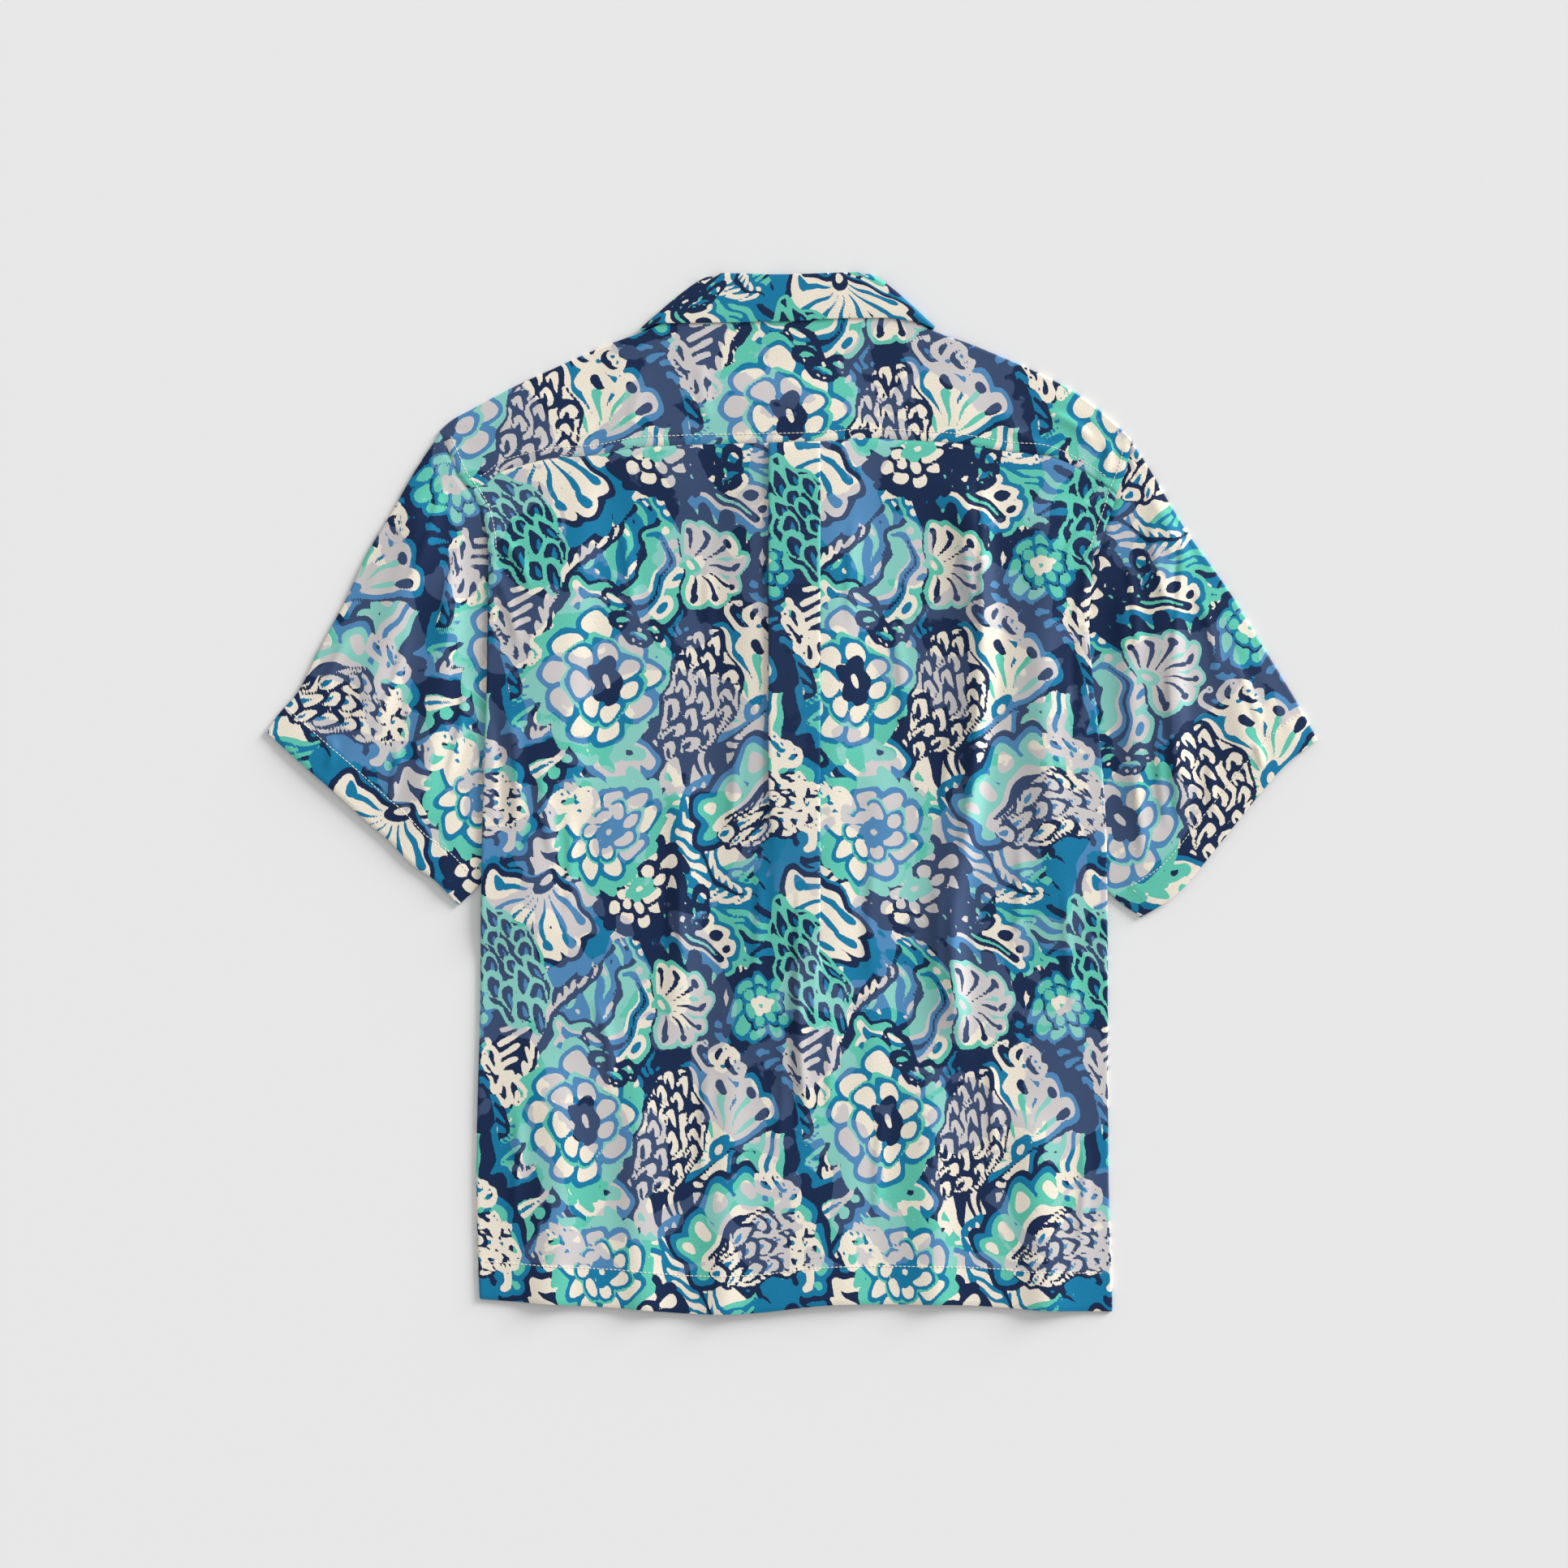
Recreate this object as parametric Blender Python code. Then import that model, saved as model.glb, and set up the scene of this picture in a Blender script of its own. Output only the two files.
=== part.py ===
"""Camp collar shirt, short sleeves, lying flat on its fronts with its back up.

Every piece is a wall of cloth, 1 mm thick. A piece is laid out as a grid of points along the middle
of its cloth, and the wall is half a thickness to each side of that grid. Sizes are in millimetres and
become metres when a mesh is made. X runs across the shirt, Y up to the collar, Z up from the surface.
"""
import math
from collections import namedtuple

import bpy
import numpy as np

# Driving sizes, in millimetres
MM = 0.001
CLOTH = 1.0            # wall of every piece
SEAM = 0.3             # gap between pieces that are sewn together
LOFT = 1.8             # from the middle of a lower layer to the middle of the layer on it
LAYER = 1.5            # the same inside a pressed fold
SLEEVE_ROOM = 3.2      # how far the body's sides ride up on the sleeves
COLLAR_ROOM = 1.3      # how far the fronts ride up on the collar
BUTTON_ROOM = 2.6      # how far the left front rides up on each button
FULLNESS = 1.3         # air under the middle of the back
LAP = 15.0             # each front past the centre line
YOKE_TURN = 24.0       # the yoke past the shoulder, to the front seam
SIDE_TURN = 11.0       # the back past its side edge, to the side seam
PLEAT_CENTRE = 2.0
PLEAT_HALF = 19.0      # half the width of the box pleat
BUTTON_RADIUS = 5.75
BUTTON_DEPTH = 2.2
BUTTON_TOP = 232.0
BUTTON_STEP = 98.0
BUTTON_COUNT = 5

FLOOR_LAYER = CLOTH / 2
HALF_GAP = SEAM / 2
TURN_RADIUS = LOFT / 2
TURN_ANGLES = np.radians([60, 20, -20, -60])
ARMHOLE_TOP = 172

Side = namedtuple("Side", "y left right")
Point = namedtuple("Point", "x y")
Crease = namedtuple("Crease", "path height left_width right_width fade")

# Edge of the body below the armholes
SIDES = [Side(172, -227.5, 225.5), Side(118, -228.5, 223.5), Side(80, -229, 226.6), Side(40, -230.5, 231),
         Side(-28, -232.3, 236), Side(-87, -233.3, 237), Side(-177, -234.4, 237.6), Side(-245, -236.4, 237.8),
         Side(-298, -237, 238.2), Side(-340, -236, 239.6), Side(-392, -233.8, 241)]

# Armhole seam, from the shoulder's edge to the armpit
ARMHOLE = {
    "left": [Point(-263.8, 270.3), Point(-257.7, 257), Point(-254, 248), Point(-249, 237), Point(-243, 229),
             Point(-234, 215), Point(-230.8, 205), Point(-228.6, 194), Point(-227.5, 172), Point(-222, 120),
             Point(-214, 70), Point(-205, 20)],
    "right": [Point(254.9, 264), Point(254, 255), Point(252.5, 247), Point(248.5, 236), Point(244, 225),
              Point(240.8, 214), Point(237.5, 205), Point(233.5, 194), Point(225.5, 172), Point(215, 120),
              Point(212, 70), Point(208, 20)]}
FRONT_SEAM_AT, YOKE_SEAM_AT, TUCK_AT = 2, 4, 8     # stations of the armhole where other seams meet it

SHOULDER = [Point(-263.8, 270.3), Point(-258, 276.3), Point(-236, 289.8), Point(-215, 301.3), Point(-179, 318.4),
            Point(-140, 335.8), Point(-112, 346), Point(-80, 359.5), Point(-40, 360), Point(0, 359.6),
            Point(40, 360), Point(80, 359.5), Point(106, 347), Point(134, 337), Point(162.6, 325.1),
            Point(188.8, 313.2), Point(214.4, 298.9), Point(237.6, 280.6), Point(247, 272), Point(254.9, 264)]
NECK_HALF, NECK_Y = 80.0, 359.0

YOKE_SEAM = [Point(-244, 229.5), Point(-231, 232), Point(-220, 241), Point(-208, 245.2), Point(-186, 250.7),
             Point(-144, 254.4), Point(-119, 259.3), Point(-88, 261), Point(-20, 262.3), Point(27, 263.8),
             Point(52, 266), Point(83, 265), Point(125, 262.3), Point(163, 256.2), Point(196, 252.5),
             Point(217, 242.8), Point(236, 230.6), Point(244.5, 224.5)]

HEM = [Point(-234, -380), Point(-179, -383.7), Point(-131, -386.4), Point(-68, -391), Point(-31, -390.4),
       Point(24, -384.6), Point(80, -383.7), Point(135, -384.6), Point(190, -388.3), Point(241, -389.2)]

# Front neckline, at positive x, from past the centre line to the neck point
NECKLINE = [Point(-15, 288), Point(0, 288), Point(10, 289), Point(24, 294), Point(46, 308), Point(70, 337)]

SLEEVE_OVER = {
    "left": [Point(-263.8, 270.3), Point(-279.7, 247), Point(-300.4, 211), Point(-318.7, 180), Point(-337, 141),
             Point(-355.3, 107.4), Point(-373, 73.2), Point(-383.4, 61.6), Point(-395, 46.4)],
    "right": [Point(254.9, 264), Point(266.3, 247), Point(284.6, 216), Point(297.4, 195.2), Point(315.7, 169.6),
              Point(333.7, 143.4), Point(349.2, 117.7), Point(362, 97), Point(378, 70.8), Point(395, 40)]}
SLEEVE_HEM = {
    "left": [Point(-395, 46.4), Point(-364.5, 18.9), Point(-337.3, -4.6), Point(-316.3, -23.8),
             Point(-303.5, -34.5), Point(-282.7, -55.5), Point(-271, -63), Point(-249.8, -84.2)],
    "right": [Point(395, 40), Point(374.8, 25), Point(347, -6), Point(318, -42.1), Point(287, -77.5),
              Point(262, -93.5)]}
SLEEVE_UNDER = {
    "left": [Point(-205, 20), Point(-217, -22), Point(-232, -66), Point(-249.8, -84.2)],
    "right": [Point(208, 20), Point(216, -22), Point(235, -72), Point(262, -93.5)]}

# The collar's sections, from its front end round to the centre back: the roll, the leaf's outer edge
Section = namedtuple("Section", "roll_x roll_y edge_x edge_y")
COLLAR_FRONT = [Section(-3, 288, -46, 240), Section(-20, 300, -72, 262), Section(-40, 325, -93, 296),
                Section(-54, 362, -109, 334)]
FOOT_SPREAD = 1.35      # the stand's foot is this much longer than its roll
COLLAR_BEND = {"left": Section(-60, 388.5, -114.5, 349), "right": Section(56, 390.5, 108, 350.5)}
COLLAR_BACK = [Section(-53, 390, -101, 352.3), Section(-40, 390, -72, 352.6), Section(-20, 389.2, -36, 353),
               Section(0, 389.3, 0, 353.8), Section(21, 390, 36, 356), Section(40, 390.6, 72, 356.4),
               Section(50, 390.8, 96, 353.2)]

# Soft folds in the upper layer: path as (y, x) down the fold, then its height and its two flanks
BACK_CREASES = [
    Crease([(242, 130), (170, 138.8), (123, 142.4), (45, 138.8), (-26, 130.8), (-87, 121), (-151, 122.3),
            (-215, 126)], 6.0, 15, 8, 70),
    Crease([(245, 205), (170, 196), (60, 190), (-60, 193)], 2.6, 14, 12, 70),
    Crease([(252, -150), (180, -158), (60, -166), (-40, -160)], 2.6, 18, 13, 80),
    Crease([(20, -84), (-60, -82), (-122, -84), (-200, -92)], 2.8, 10, 14, 60),
    Crease([(40, 60), (-60, 66), (-170, 62), (-260, 58)], 2.4, 14, 16, 80),
    Crease([(-190, -180), (-280, -176), (-392, -182)], 3.0, 17, 15, 90),
    Crease([(-200, -112), (-300, -118), (-392, -112)], 2.4, 13, 16, 90),
    Crease([(-170, -40), (-280, -46), (-392, -50)], 3.4, 18, 15, 90),
    Crease([(-230, 30), (-310, 26), (-392, 30)], 2.6, 15, 17, 80),
    Crease([(-190, 100), (-300, 104), (-392, 108)], 3.0, 17, 14, 90),
    Crease([(-220, 178), (-310, 184), (-392, 190)], 3.2, 15, 17, 80)]
SLEEVE_CREASES = {
    "left": [Crease([(235, -270), (150, -292), (60, -320), (10, -336)], 3.0, 13, 15, 70),
             Crease([(180, -248), (90, -262), (0, -276), (-50, -284)], 2.8, 14, 11, 60)],
    "right": [Crease([(254, 262), (217, 284.6), (199, 290), (174, 282), (112, 285.8), (30, 292), (-20, 295)],
                     3.6, 18, 7, 45),
              Crease([(170, 246), (90, 252), (0, 256), (-50, 258)], 2.8, 10, 12, 60),
              Crease([(110, 326), (50, 338), (0, 345)], 2.4, 12, 10, 50)]}

COLOURS = {"cream": (0.83, 0.76, 0.65), "navy": (0.013, 0.023, 0.084), "teal": (0.003, 0.196, 0.371),
           "mint": (0.122, 0.552, 0.413), "shell": (0.62, 0.60, 0.56)}


# Curves and soft steps

def follow(knots, values, at):
    """A smooth curve through values at knots, read at the given places."""
    knots, values, at = np.asarray(knots, float), np.asarray(values, float), np.asarray(at, float)
    if knots[0] > knots[-1]:
        knots, values = knots[::-1], values[::-1]
    slope = np.gradient(values, knots)
    i = np.clip(np.searchsorted(knots, at) - 1, 0, len(knots) - 2)
    step = knots[i + 1] - knots[i]
    t = np.clip((at - knots[i]) / step, 0, 1)
    rise_in, rise_out = t * (1 - t) ** 2 * step * slope[i], t * t * (t - 1) * step * slope[i + 1]
    return (1 + 2 * t) * (1 - t) ** 2 * values[i] + t * t * (3 - 2 * t) * values[i + 1] + rise_in + rise_out


def column(table, name):
    return np.array([getattr(row, name) for row in table], float)


def height_along(table, x):
    """y of an outline that runs across the shirt."""
    return follow(column(table, "x"), column(table, "y"), x)


def side_at(table, y, side):
    """x of an outline that runs down the shirt."""
    return follow(column(table, "y"), column(table, side), y)


def run(points):
    """A function that reads a row of points from 0 at its start to 1 at its end."""
    xy = np.array(points, float)
    length = np.r_[0, np.cumsum(np.hypot(*np.diff(xy, axis=0).T))]
    return lambda t: np.stack([follow(length / length[-1], xy[:, k], t) for k in (0, 1)], -1)


def rise(value, start, end):
    """0 before start, 1 after end, soft between."""
    t = np.clip((np.asarray(value, float) - start) / (end - start), 0, 1)
    return t * t * (3 - 2 * t)


def patch(top, bottom, left, right, u, v):
    """The point at (u, v) of a panel between its four edges."""
    u, v = np.broadcast_arrays(np.asarray(u, float), np.asarray(v, float))
    a, b = u[..., None], v[..., None]
    corners = ((1 - a) * (1 - b) * top(0.0) + a * (1 - b) * top(1.0)
               + (1 - a) * b * bottom(0.0) + a * b * bottom(1.0))
    return (1 - b) * top(u) + b * bottom(u) + (1 - a) * left(v) + a * right(v) - corners


# Heights of the lower and upper layers

def inward(x, y):
    """How far a point lies inside the body's edges."""
    return np.minimum(x - side_at(SIDES, y, "left"), side_at(SIDES, y, "right") - x)


def sleeve_under(x, y):
    """1 where a sleeve lies under the body's side, 0 away from it."""
    return (1 - rise(inward(x, y), 34, 80)) * (1 - rise(y, 178, 228)) * rise(y, -132, -90)


def collar_under(x, y):
    return rise(y, 200, 235) * (1 - rise(np.abs(x), 118, 150))


def button_heights():
    return [BUTTON_TOP - BUTTON_STEP * i for i in range(BUTTON_COUNT)]


def buttons_under(x, y):
    """The front's edge keeps one height from its top button to its last."""
    first, last = button_heights()[0], button_heights()[-1]
    beside = 1 - rise(np.abs(x), BUTTON_RADIUS + 2.5, BUTTON_RADIUS + 34)
    return beside * (1 - rise(y, first + 14, first + 60)) * rise(y, last - 75, last - 12)


def low_z(x, y):
    """Middle of the fronts' cloth."""
    ridden = np.maximum(COLLAR_ROOM * collar_under(x, y), BUTTON_ROOM * buttons_under(x, y))
    return FLOOR_LAYER + SLEEVE_ROOM * sleeve_under(x, y) + ridden


def lap_z(x):
    """How far the right front rides up on the left one."""
    return LAYER * (1 - rise(x, LAP + 2, LAP + 40))


def creases(table, x, y):
    total = np.zeros(np.shape(x))
    for crease in table:
        down, across = np.array(crease.path, float).T
        off = x - follow(down, across, y)
        width = np.where(off < 0, crease.left_width, crease.right_width)
        into_hem = down[-1] < HEM[0].y
        ends = 1.0 if into_hem else rise(y, down[-1], down[-1] + crease.fade)
        ends = ends * (1 - rise(y, down[0] - crease.fade * 0.6, down[0]))
        total = total + crease.height * np.exp(-(off / width) ** 2) * ends
    return total


def top_z(x, y):
    """Middle of the back's and the yoke's cloth, without the pleat."""
    inside = rise(inward(x, np.minimum(y, ARMHOLE_TOP)), 4, 45) * (1 - rise(y, 270, 325))
    lap = rise(x, -LAP - 55, -LAP - 4) * (1 - rise(x, LAP + 2, LAP + 60)) * (1 - rise(y, 292, 325))
    return low_z(x, y) + LOFT + LAYER * lap + inside * (FULLNESS + creases(BACK_CREASES, x, y))


# Walls

def cloth(name, middle, active=None, closed=False, seams=None, thickness=CLOTH):
    """A wall of cloth on a grid of middle points; cells that aren't active are left out.

    seams holds, at points on a seam, the level direction across it: the wall's edge stands along it.
    """
    rows, cols = middle.shape[:2]
    across = cols if closed else cols - 1
    index = np.arange(rows * cols).reshape(rows, cols)
    quads = []
    for r in range(rows - 1):
        for c in range(across):
            if active is None or active[r, c]:
                d = (c + 1) % cols
                quads.append((index[r, c], index[r, d], index[r + 1, d], index[r + 1, c]))
    flat = middle.reshape(-1, 3)
    normals = np.zeros_like(flat)
    for quad in quads:
        p, q, r, s = flat[list(quad)]
        normal = np.cross(r - p, s - q)
        normals[list(quad)] += normal / max(np.linalg.norm(normal), 1e-9)
    if seams is not None:
        level = seams.reshape(-1, 3)
        normals -= level * np.sum(normals * level, axis=1, keepdims=True)
    normals /= np.maximum(np.linalg.norm(normals, axis=1, keepdims=True), 1e-9)
    points = np.concatenate([flat + normals * thickness / 2, flat - normals * thickness / 2])
    lower = len(flat)
    faces = [tuple(quad) for quad in quads] + [tuple(lower + i for i in reversed(quad)) for quad in quads]
    edges = {(quad[k], quad[(k + 1) % 4]) for quad in quads for k in range(4)}
    faces += [(b, a, a + lower, b + lower) for a, b in sorted(edges) if (b, a) not in edges]
    used = sorted({i for face in faces for i in face})
    place = {old: new for new, old in enumerate(used)}
    faces = [tuple(place[i] for i in face) for face in faces]
    return solid(name, points[used], faces)


def solid(name, points, faces):
    """A closed mesh from points in millimetres, its faces turned outwards."""
    volume = sum(np.dot(points[f[0]], np.cross(points[f[k]], points[f[k + 1]]))
                 for f in faces for k in range(1, len(f) - 1))
    if volume < 0:
        faces = [tuple(reversed(face)) for face in faces]
    mesh = bpy.data.meshes.new(name)
    mesh.from_pydata((points * MM).tolist(), [], faces)
    mesh.shade_smooth()
    mesh.set_sharp_from_angle(angle=math.radians(50))
    piece = bpy.data.objects.new(name, mesh)
    bpy.context.scene.collection.objects.link(piece)
    return piece


def finish(piece, colour, roughness=0.6):
    material = bpy.data.materials.new(piece.name)
    material.use_nodes = True
    shader = material.node_tree.nodes["Principled BSDF"]
    shader.inputs["Base Color"].default_value = (*COLOURS[colour], 1)
    shader.inputs["Roughness"].default_value = roughness
    piece.data.materials.append(material)


def stack(x, y, z):
    return np.stack(np.broadcast_arrays(x, y, z), -1).astype(float)


# Seams that two pieces share: both read the same points, so their edges keep the same gap all along

def across_of(along):
    """The level direction to the right of each step."""
    along = np.asarray(along, float)
    return np.stack([along[..., 1], -along[..., 0]], -1) / np.linalg.norm(along, axis=-1, keepdims=True)


def armhole(side):
    """Points down the armhole seam, the direction across it, away from the body, and its first direction.

    Its two ends stand back from the folded edges by the radius of the fold.
    """
    sign = -1 if side == "left" else 1
    xy = np.array(ARMHOLE[side], float)
    first = (xy[1] - xy[0]) / np.linalg.norm(xy[1] - xy[0])
    last = (xy[-1] - xy[-2]) / np.linalg.norm(xy[-1] - xy[-2])
    xy[0] += first * (CLOTH / 2 + TURN_RADIUS)
    xy[-1] -= last * (CLOTH / 2 + TURN_RADIUS)
    along = np.gradient(xy, axis=0)
    along[0], along[-1] = first, last
    return xy, -sign * across_of(along), first


def yoke_seam():
    """Points along the seam of the yoke and the back."""
    x = np.r_[np.linspace(ARMHOLE["left"][YOKE_SEAM_AT].x, -86, 10), -55, -22, 2, 26, 58,
              np.linspace(88, ARMHOLE["right"][YOKE_SEAM_AT].x, 10)]
    y = height_along(YOKE_SEAM, x)
    y[0], y[-1] = ARMHOLE["left"][YOKE_SEAM_AT].y, ARMHOLE["right"][YOKE_SEAM_AT].y
    return np.stack([x, y], -1)


SHOULDER_STATIONS = 10


def shoulder_fold(side):
    """Where the yoke's top starts to turn under, from the armhole to the neck, and the way out."""
    sign = -1 if side == "left" else 1
    ends, _, first = armhole(side)
    x = np.linspace(ends[0, 0], sign * NECK_HALF, SHOULDER_STATIONS)
    slope = (height_along(SHOULDER, x + 2) - height_along(SHOULDER, x - 2)) / 4
    slope[0], slope[-1] = slope[1], slope[-2]
    out = np.stack([-slope, np.ones(len(x))], -1) / np.hypot(slope, 1)[:, None]
    out[0] = -first
    edge = np.stack([x, height_along(SHOULDER, x)], -1)
    fold = edge - out * (CLOTH / 2 + TURN_RADIUS)
    fold[0] = ends[0]
    return fold, out


def front_seam(side):
    """Points along the front shoulder seam, from the armhole to the neck."""
    fold, out = shoulder_fold(side)
    seam = fold - out * YOKE_TURN
    seam[0] = ARMHOLE[side][FRONT_SEAM_AT]
    return seam


# The back: rows from the yoke seam to the hem, with a turn round each side and the box pleat

SIDE_ROWS = np.r_[148, 122, 96, 70, 44, 18, -8, -34, -62, -90, -118, -146, -174, -202, -230, -258, -286, -314,
                  -340, -363]
TURN_UNDER = [0.0, 0.5, 1.0]


LEFT_PLEAT_GONE, RIGHT_PLEAT_GONE = 45.0, 150.0
PLEAT_EDGE = 5.0        # flat cloth past the pleat's fold, on which it lies
PLEAT_OPENS = 40.0      # the stretch in which a fold opens, and the ridge that it leaves below
PLEAT_RIDGE = 130.0


def pleat_half(y, gone):
    """Middle points of one half of the pleat: x from the centre line out, and height over the back.

    The fold narrows on its way down and has opened where y is gone below the origin.
    """
    radius = LAYER / 2
    closed = 1 - rise(-y, -90, gone - 25)
    outer = PLEAT_HALF - 3.0 * rise(-y, -200, gone)
    inner = outer - 1.0 - (PLEAT_HALF - 3.2) * closed
    turn = np.radians([-90, -30, 30, 90])
    upper_x = outer - radius + radius * np.cos(turn)
    upper_z = 3 * radius - radius * np.sin(turn)
    lower_x = inner + radius - radius * np.cos(turn)
    lower_z = radius - radius * np.sin(turn)
    folded_x = np.r_[0.0, upper_x, lower_x, PLEAT_HALF + PLEAT_EDGE]
    folded_z = np.r_[4 * radius, upper_z, lower_z, 0.0]
    open_x = np.linspace(0, PLEAT_HALF + PLEAT_EDGE, len(folded_x))
    open_z = 4 * radius * (1 - rise(open_x, outer - 9, outer + 4)) * (1 - rise(-y, gone, gone + PLEAT_RIDGE))
    opened = rise(-y, gone - PLEAT_OPENS, gone)
    return folded_x + opened * (open_x - folded_x), folded_z + opened * (open_z - folded_z)


def pleat_line(y):
    """Middle points right across the pleat."""
    left_x, left_z = pleat_half(y, LEFT_PLEAT_GONE)
    right_x, right_z = pleat_half(y, RIGHT_PLEAT_GONE)
    return PLEAT_CENTRE + np.r_[-left_x[::-1], right_x[1:]], np.r_[left_z[::-1], right_z[1:]]


def side_turn(end, sign):
    """Points that carry the back round its side edge and under, to the side seam."""
    x, y, z = end
    low = low_z(x, y)
    radius = (z - low) / 2
    under = x - sign * SIDE_TURN * np.array(TURN_UNDER)
    turn_x = np.r_[x + sign * radius * np.cos(TURN_ANGLES), under]
    turn_z = np.r_[low + radius + radius * np.sin(TURN_ANGLES), low_z(under, y)]
    return stack(turn_x, y, turn_z)


def back_panel():
    seam = yoke_seam()
    seam_out = -across_of(np.gradient(seam, axis=0))
    pleat_from, pleat_to = 11, 13
    shares = {"left": (seam[:pleat_from, 0] - seam[0, 0]) / (seam[pleat_from, 0] - seam[0, 0]),
              "right": (seam[pleat_to + 1:, 0] - seam[pleat_to, 0]) / (seam[-1, 0] - seam[pleat_to, 0])}
    holes = {side: armhole(side) for side in ("left", "right")}
    open_rows = TUCK_AT - YOKE_SEAM_AT + 1
    heights = np.r_[[ARMHOLE["left"][YOKE_SEAM_AT + r].y for r in range(open_rows)], SIDE_ROWS, HEM[0].y]
    turn_count = len(TURN_ANGLES) + len(TURN_UNDER)
    rows, seams = [], []
    for r, height in enumerate(heights):
        v = (heights[0] - height) / (heights[0] - heights[-1])
        ends, sewn = {}, {}
        for side, sign, corner in (("left", -1, 0), ("right", 1, -1)):
            if r < open_rows:
                xy, across, _ = holes[side]
                ends[side] = xy[YOKE_SEAM_AT + r] - across[YOKE_SEAM_AT + r] * HALF_GAP
                if r == 0:
                    ends[side] = ends[side] - seam_out[corner] * HALF_GAP
                sewn[side] = across[YOKE_SEAM_AT + r]
            else:
                y = height if side == "left" else height + (HEM[-1].y - HEM[0].y) * rise(v, 0.6, 1)
                ends[side] = np.array([side_at(SIDES, y, side) - sign * (CLOTH / 2 + TURN_RADIUS), y])
                sewn[side] = np.zeros(2)

        def straight_down(x):
            return (1 - v) * (np.interp(x, seam[:, 0], seam[:, 1]) - HALF_GAP) + v * height_along(HEM, x)

        def down(x):
            """Height of this row at x, brought to the height of its two ends."""
            far = (x - ends["left"][0]) / (ends["right"][0] - ends["left"][0])
            off = [ends[side][1] - straight_down(ends[side][0]) for side in ("left", "right")]
            return straight_down(x) + off[0] * (1 - far) ** 4 + off[1] * far ** 4

        middle_y = down(PLEAT_CENTRE)
        pleat_x, pleat_z = pleat_line(middle_y)
        x = np.r_[ends["left"][0] + (pleat_x[0] - ends["left"][0]) * shares["left"], pleat_x,
                  pleat_x[-1] + (ends["right"][0] - pleat_x[-1]) * shares["right"]]
        z = np.r_[np.zeros(len(shares["left"])), pleat_z, np.zeros(len(shares["right"]))]
        y = down(x)
        # The pleat's layers keep their distance, so they share the height at its middle
        share = 1 - rise(np.abs(x - PLEAT_CENTRE), PLEAT_HALF + 6, PLEAT_HALF + 45)
        line = stack(x, y, share * top_z(PLEAT_CENTRE, middle_y) + (1 - share) * top_z(x, y) + z)
        across = np.zeros_like(line)
        if r == 0:
            across[1:-1, :2] = across_of(np.gradient(line[:, :2], axis=0))[1:-1]
            across[pleat_from - 1:pleat_from + len(pleat_x) + 1, :2] = (0, 1)
        across[0, :2], across[-1, :2] = sewn["left"], sewn["right"]
        turned = r >= open_rows
        turns = [side_turn(line[0], -1), side_turn(line[-1], 1)] if turned else \
            [np.repeat(line[:1], turn_count, axis=0), np.repeat(line[-1:], turn_count, axis=0)]
        rows.append(np.concatenate([turns[0][::-1], line, turns[1]]))
        blank = np.zeros((turn_count, 3))
        seams.append(np.concatenate([blank, across, blank]))
    middle = np.array(rows)
    cells = np.ones((len(rows) - 1, middle.shape[1] - 1), bool)
    cells[:open_rows, :turn_count] = False
    cells[:open_rows, -turn_count:] = False
    return cloth("back", middle, cells, seams=np.array(seams))


# The yoke: from the back seam over the shoulders and under to the front seams

def yoke_piece():
    seam = yoke_seam()
    seam_out = -across_of(np.gradient(seam, axis=0))
    neck_x = np.array([-52, -26, 0, 26, 52])
    folds = {side: shoulder_fold(side) for side in ("left", "right")}
    neck = np.stack([neck_x, np.full(len(neck_x), NECK_Y)], -1)
    top = np.concatenate([folds["left"][0], neck, folds["right"][0][::-1]])
    out = np.concatenate([folds["left"][1], np.tile([0.0, 1.0], (len(neck), 1)), folds["right"][1][::-1]])
    fronts = np.concatenate([front_seam("left"), neck, front_seam("right")[::-1]])
    holes = [armhole("left"), armhole("right")]
    rows, seams = [], []

    def add(xy, z, station=None, across=None):
        """One row, its ends on the armhole; a row on a seam stands back from it."""
        xy = xy.copy()
        edge = np.zeros_like(stack(xy[:, 0], xy[:, 1], 0.0))
        for k, (points, ways, _) in zip((0, -1), holes):
            if station is not None:
                xy[k] = points[station]
            xy[k] -= ways[station or 0] * HALF_GAP
            edge[k, :2] = ways[station or 0]
        if across is not None:
            xy += across * HALF_GAP
            edge[1:-1, :2] = across[1:-1]
        rows.append(stack(xy[:, 0], xy[:, 1], 0.0 if z is None else z))
        seams.append(edge)

    for station in range(YOKE_SEAM_AT, -1, -1):
        left = holes[0][0]
        f = (left[YOKE_SEAM_AT, 1] - left[station, 1]) / (left[YOKE_SEAM_AT, 1] - left[0, 1])
        add(seam + (top - seam) * f, None, station, seam_out if station == YOKE_SEAM_AT else None)
        rows[-1][:, 2] = top_z(rows[-1][:, 0], rows[-1][:, 1])
    fold = top.copy()
    high = rows[-1][:, 2].copy()
    low = low_z(rows[-1][:, 0], rows[-1][:, 1])
    radius = (high - low) / 2
    for angle in TURN_ANGLES:
        add(fold + out * (radius * np.cos(angle))[:, None], low + radius + radius * np.sin(angle))
    way = -across_of(np.gradient(fronts, axis=0))
    for station in range(FRONT_SEAM_AT + 1):
        f = station / FRONT_SEAM_AT
        add(fold + (fronts - fold) * f, None, station, way if station == FRONT_SEAM_AT else None)
        rows[-1][:, 2] = low_z(rows[-1][:, 0], rows[-1][:, 1])
    middle = np.array(rows)
    cells = np.ones((len(rows) - 1, len(top) - 1), bool)
    cells[YOKE_SEAM_AT:, SHOULDER_STATIONS - 1:-SHOULDER_STATIONS + 1] = False
    return cloth("yoke", middle, cells, seams=np.array(seams))


# The fronts, each from its side seam to past the centre line

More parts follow.
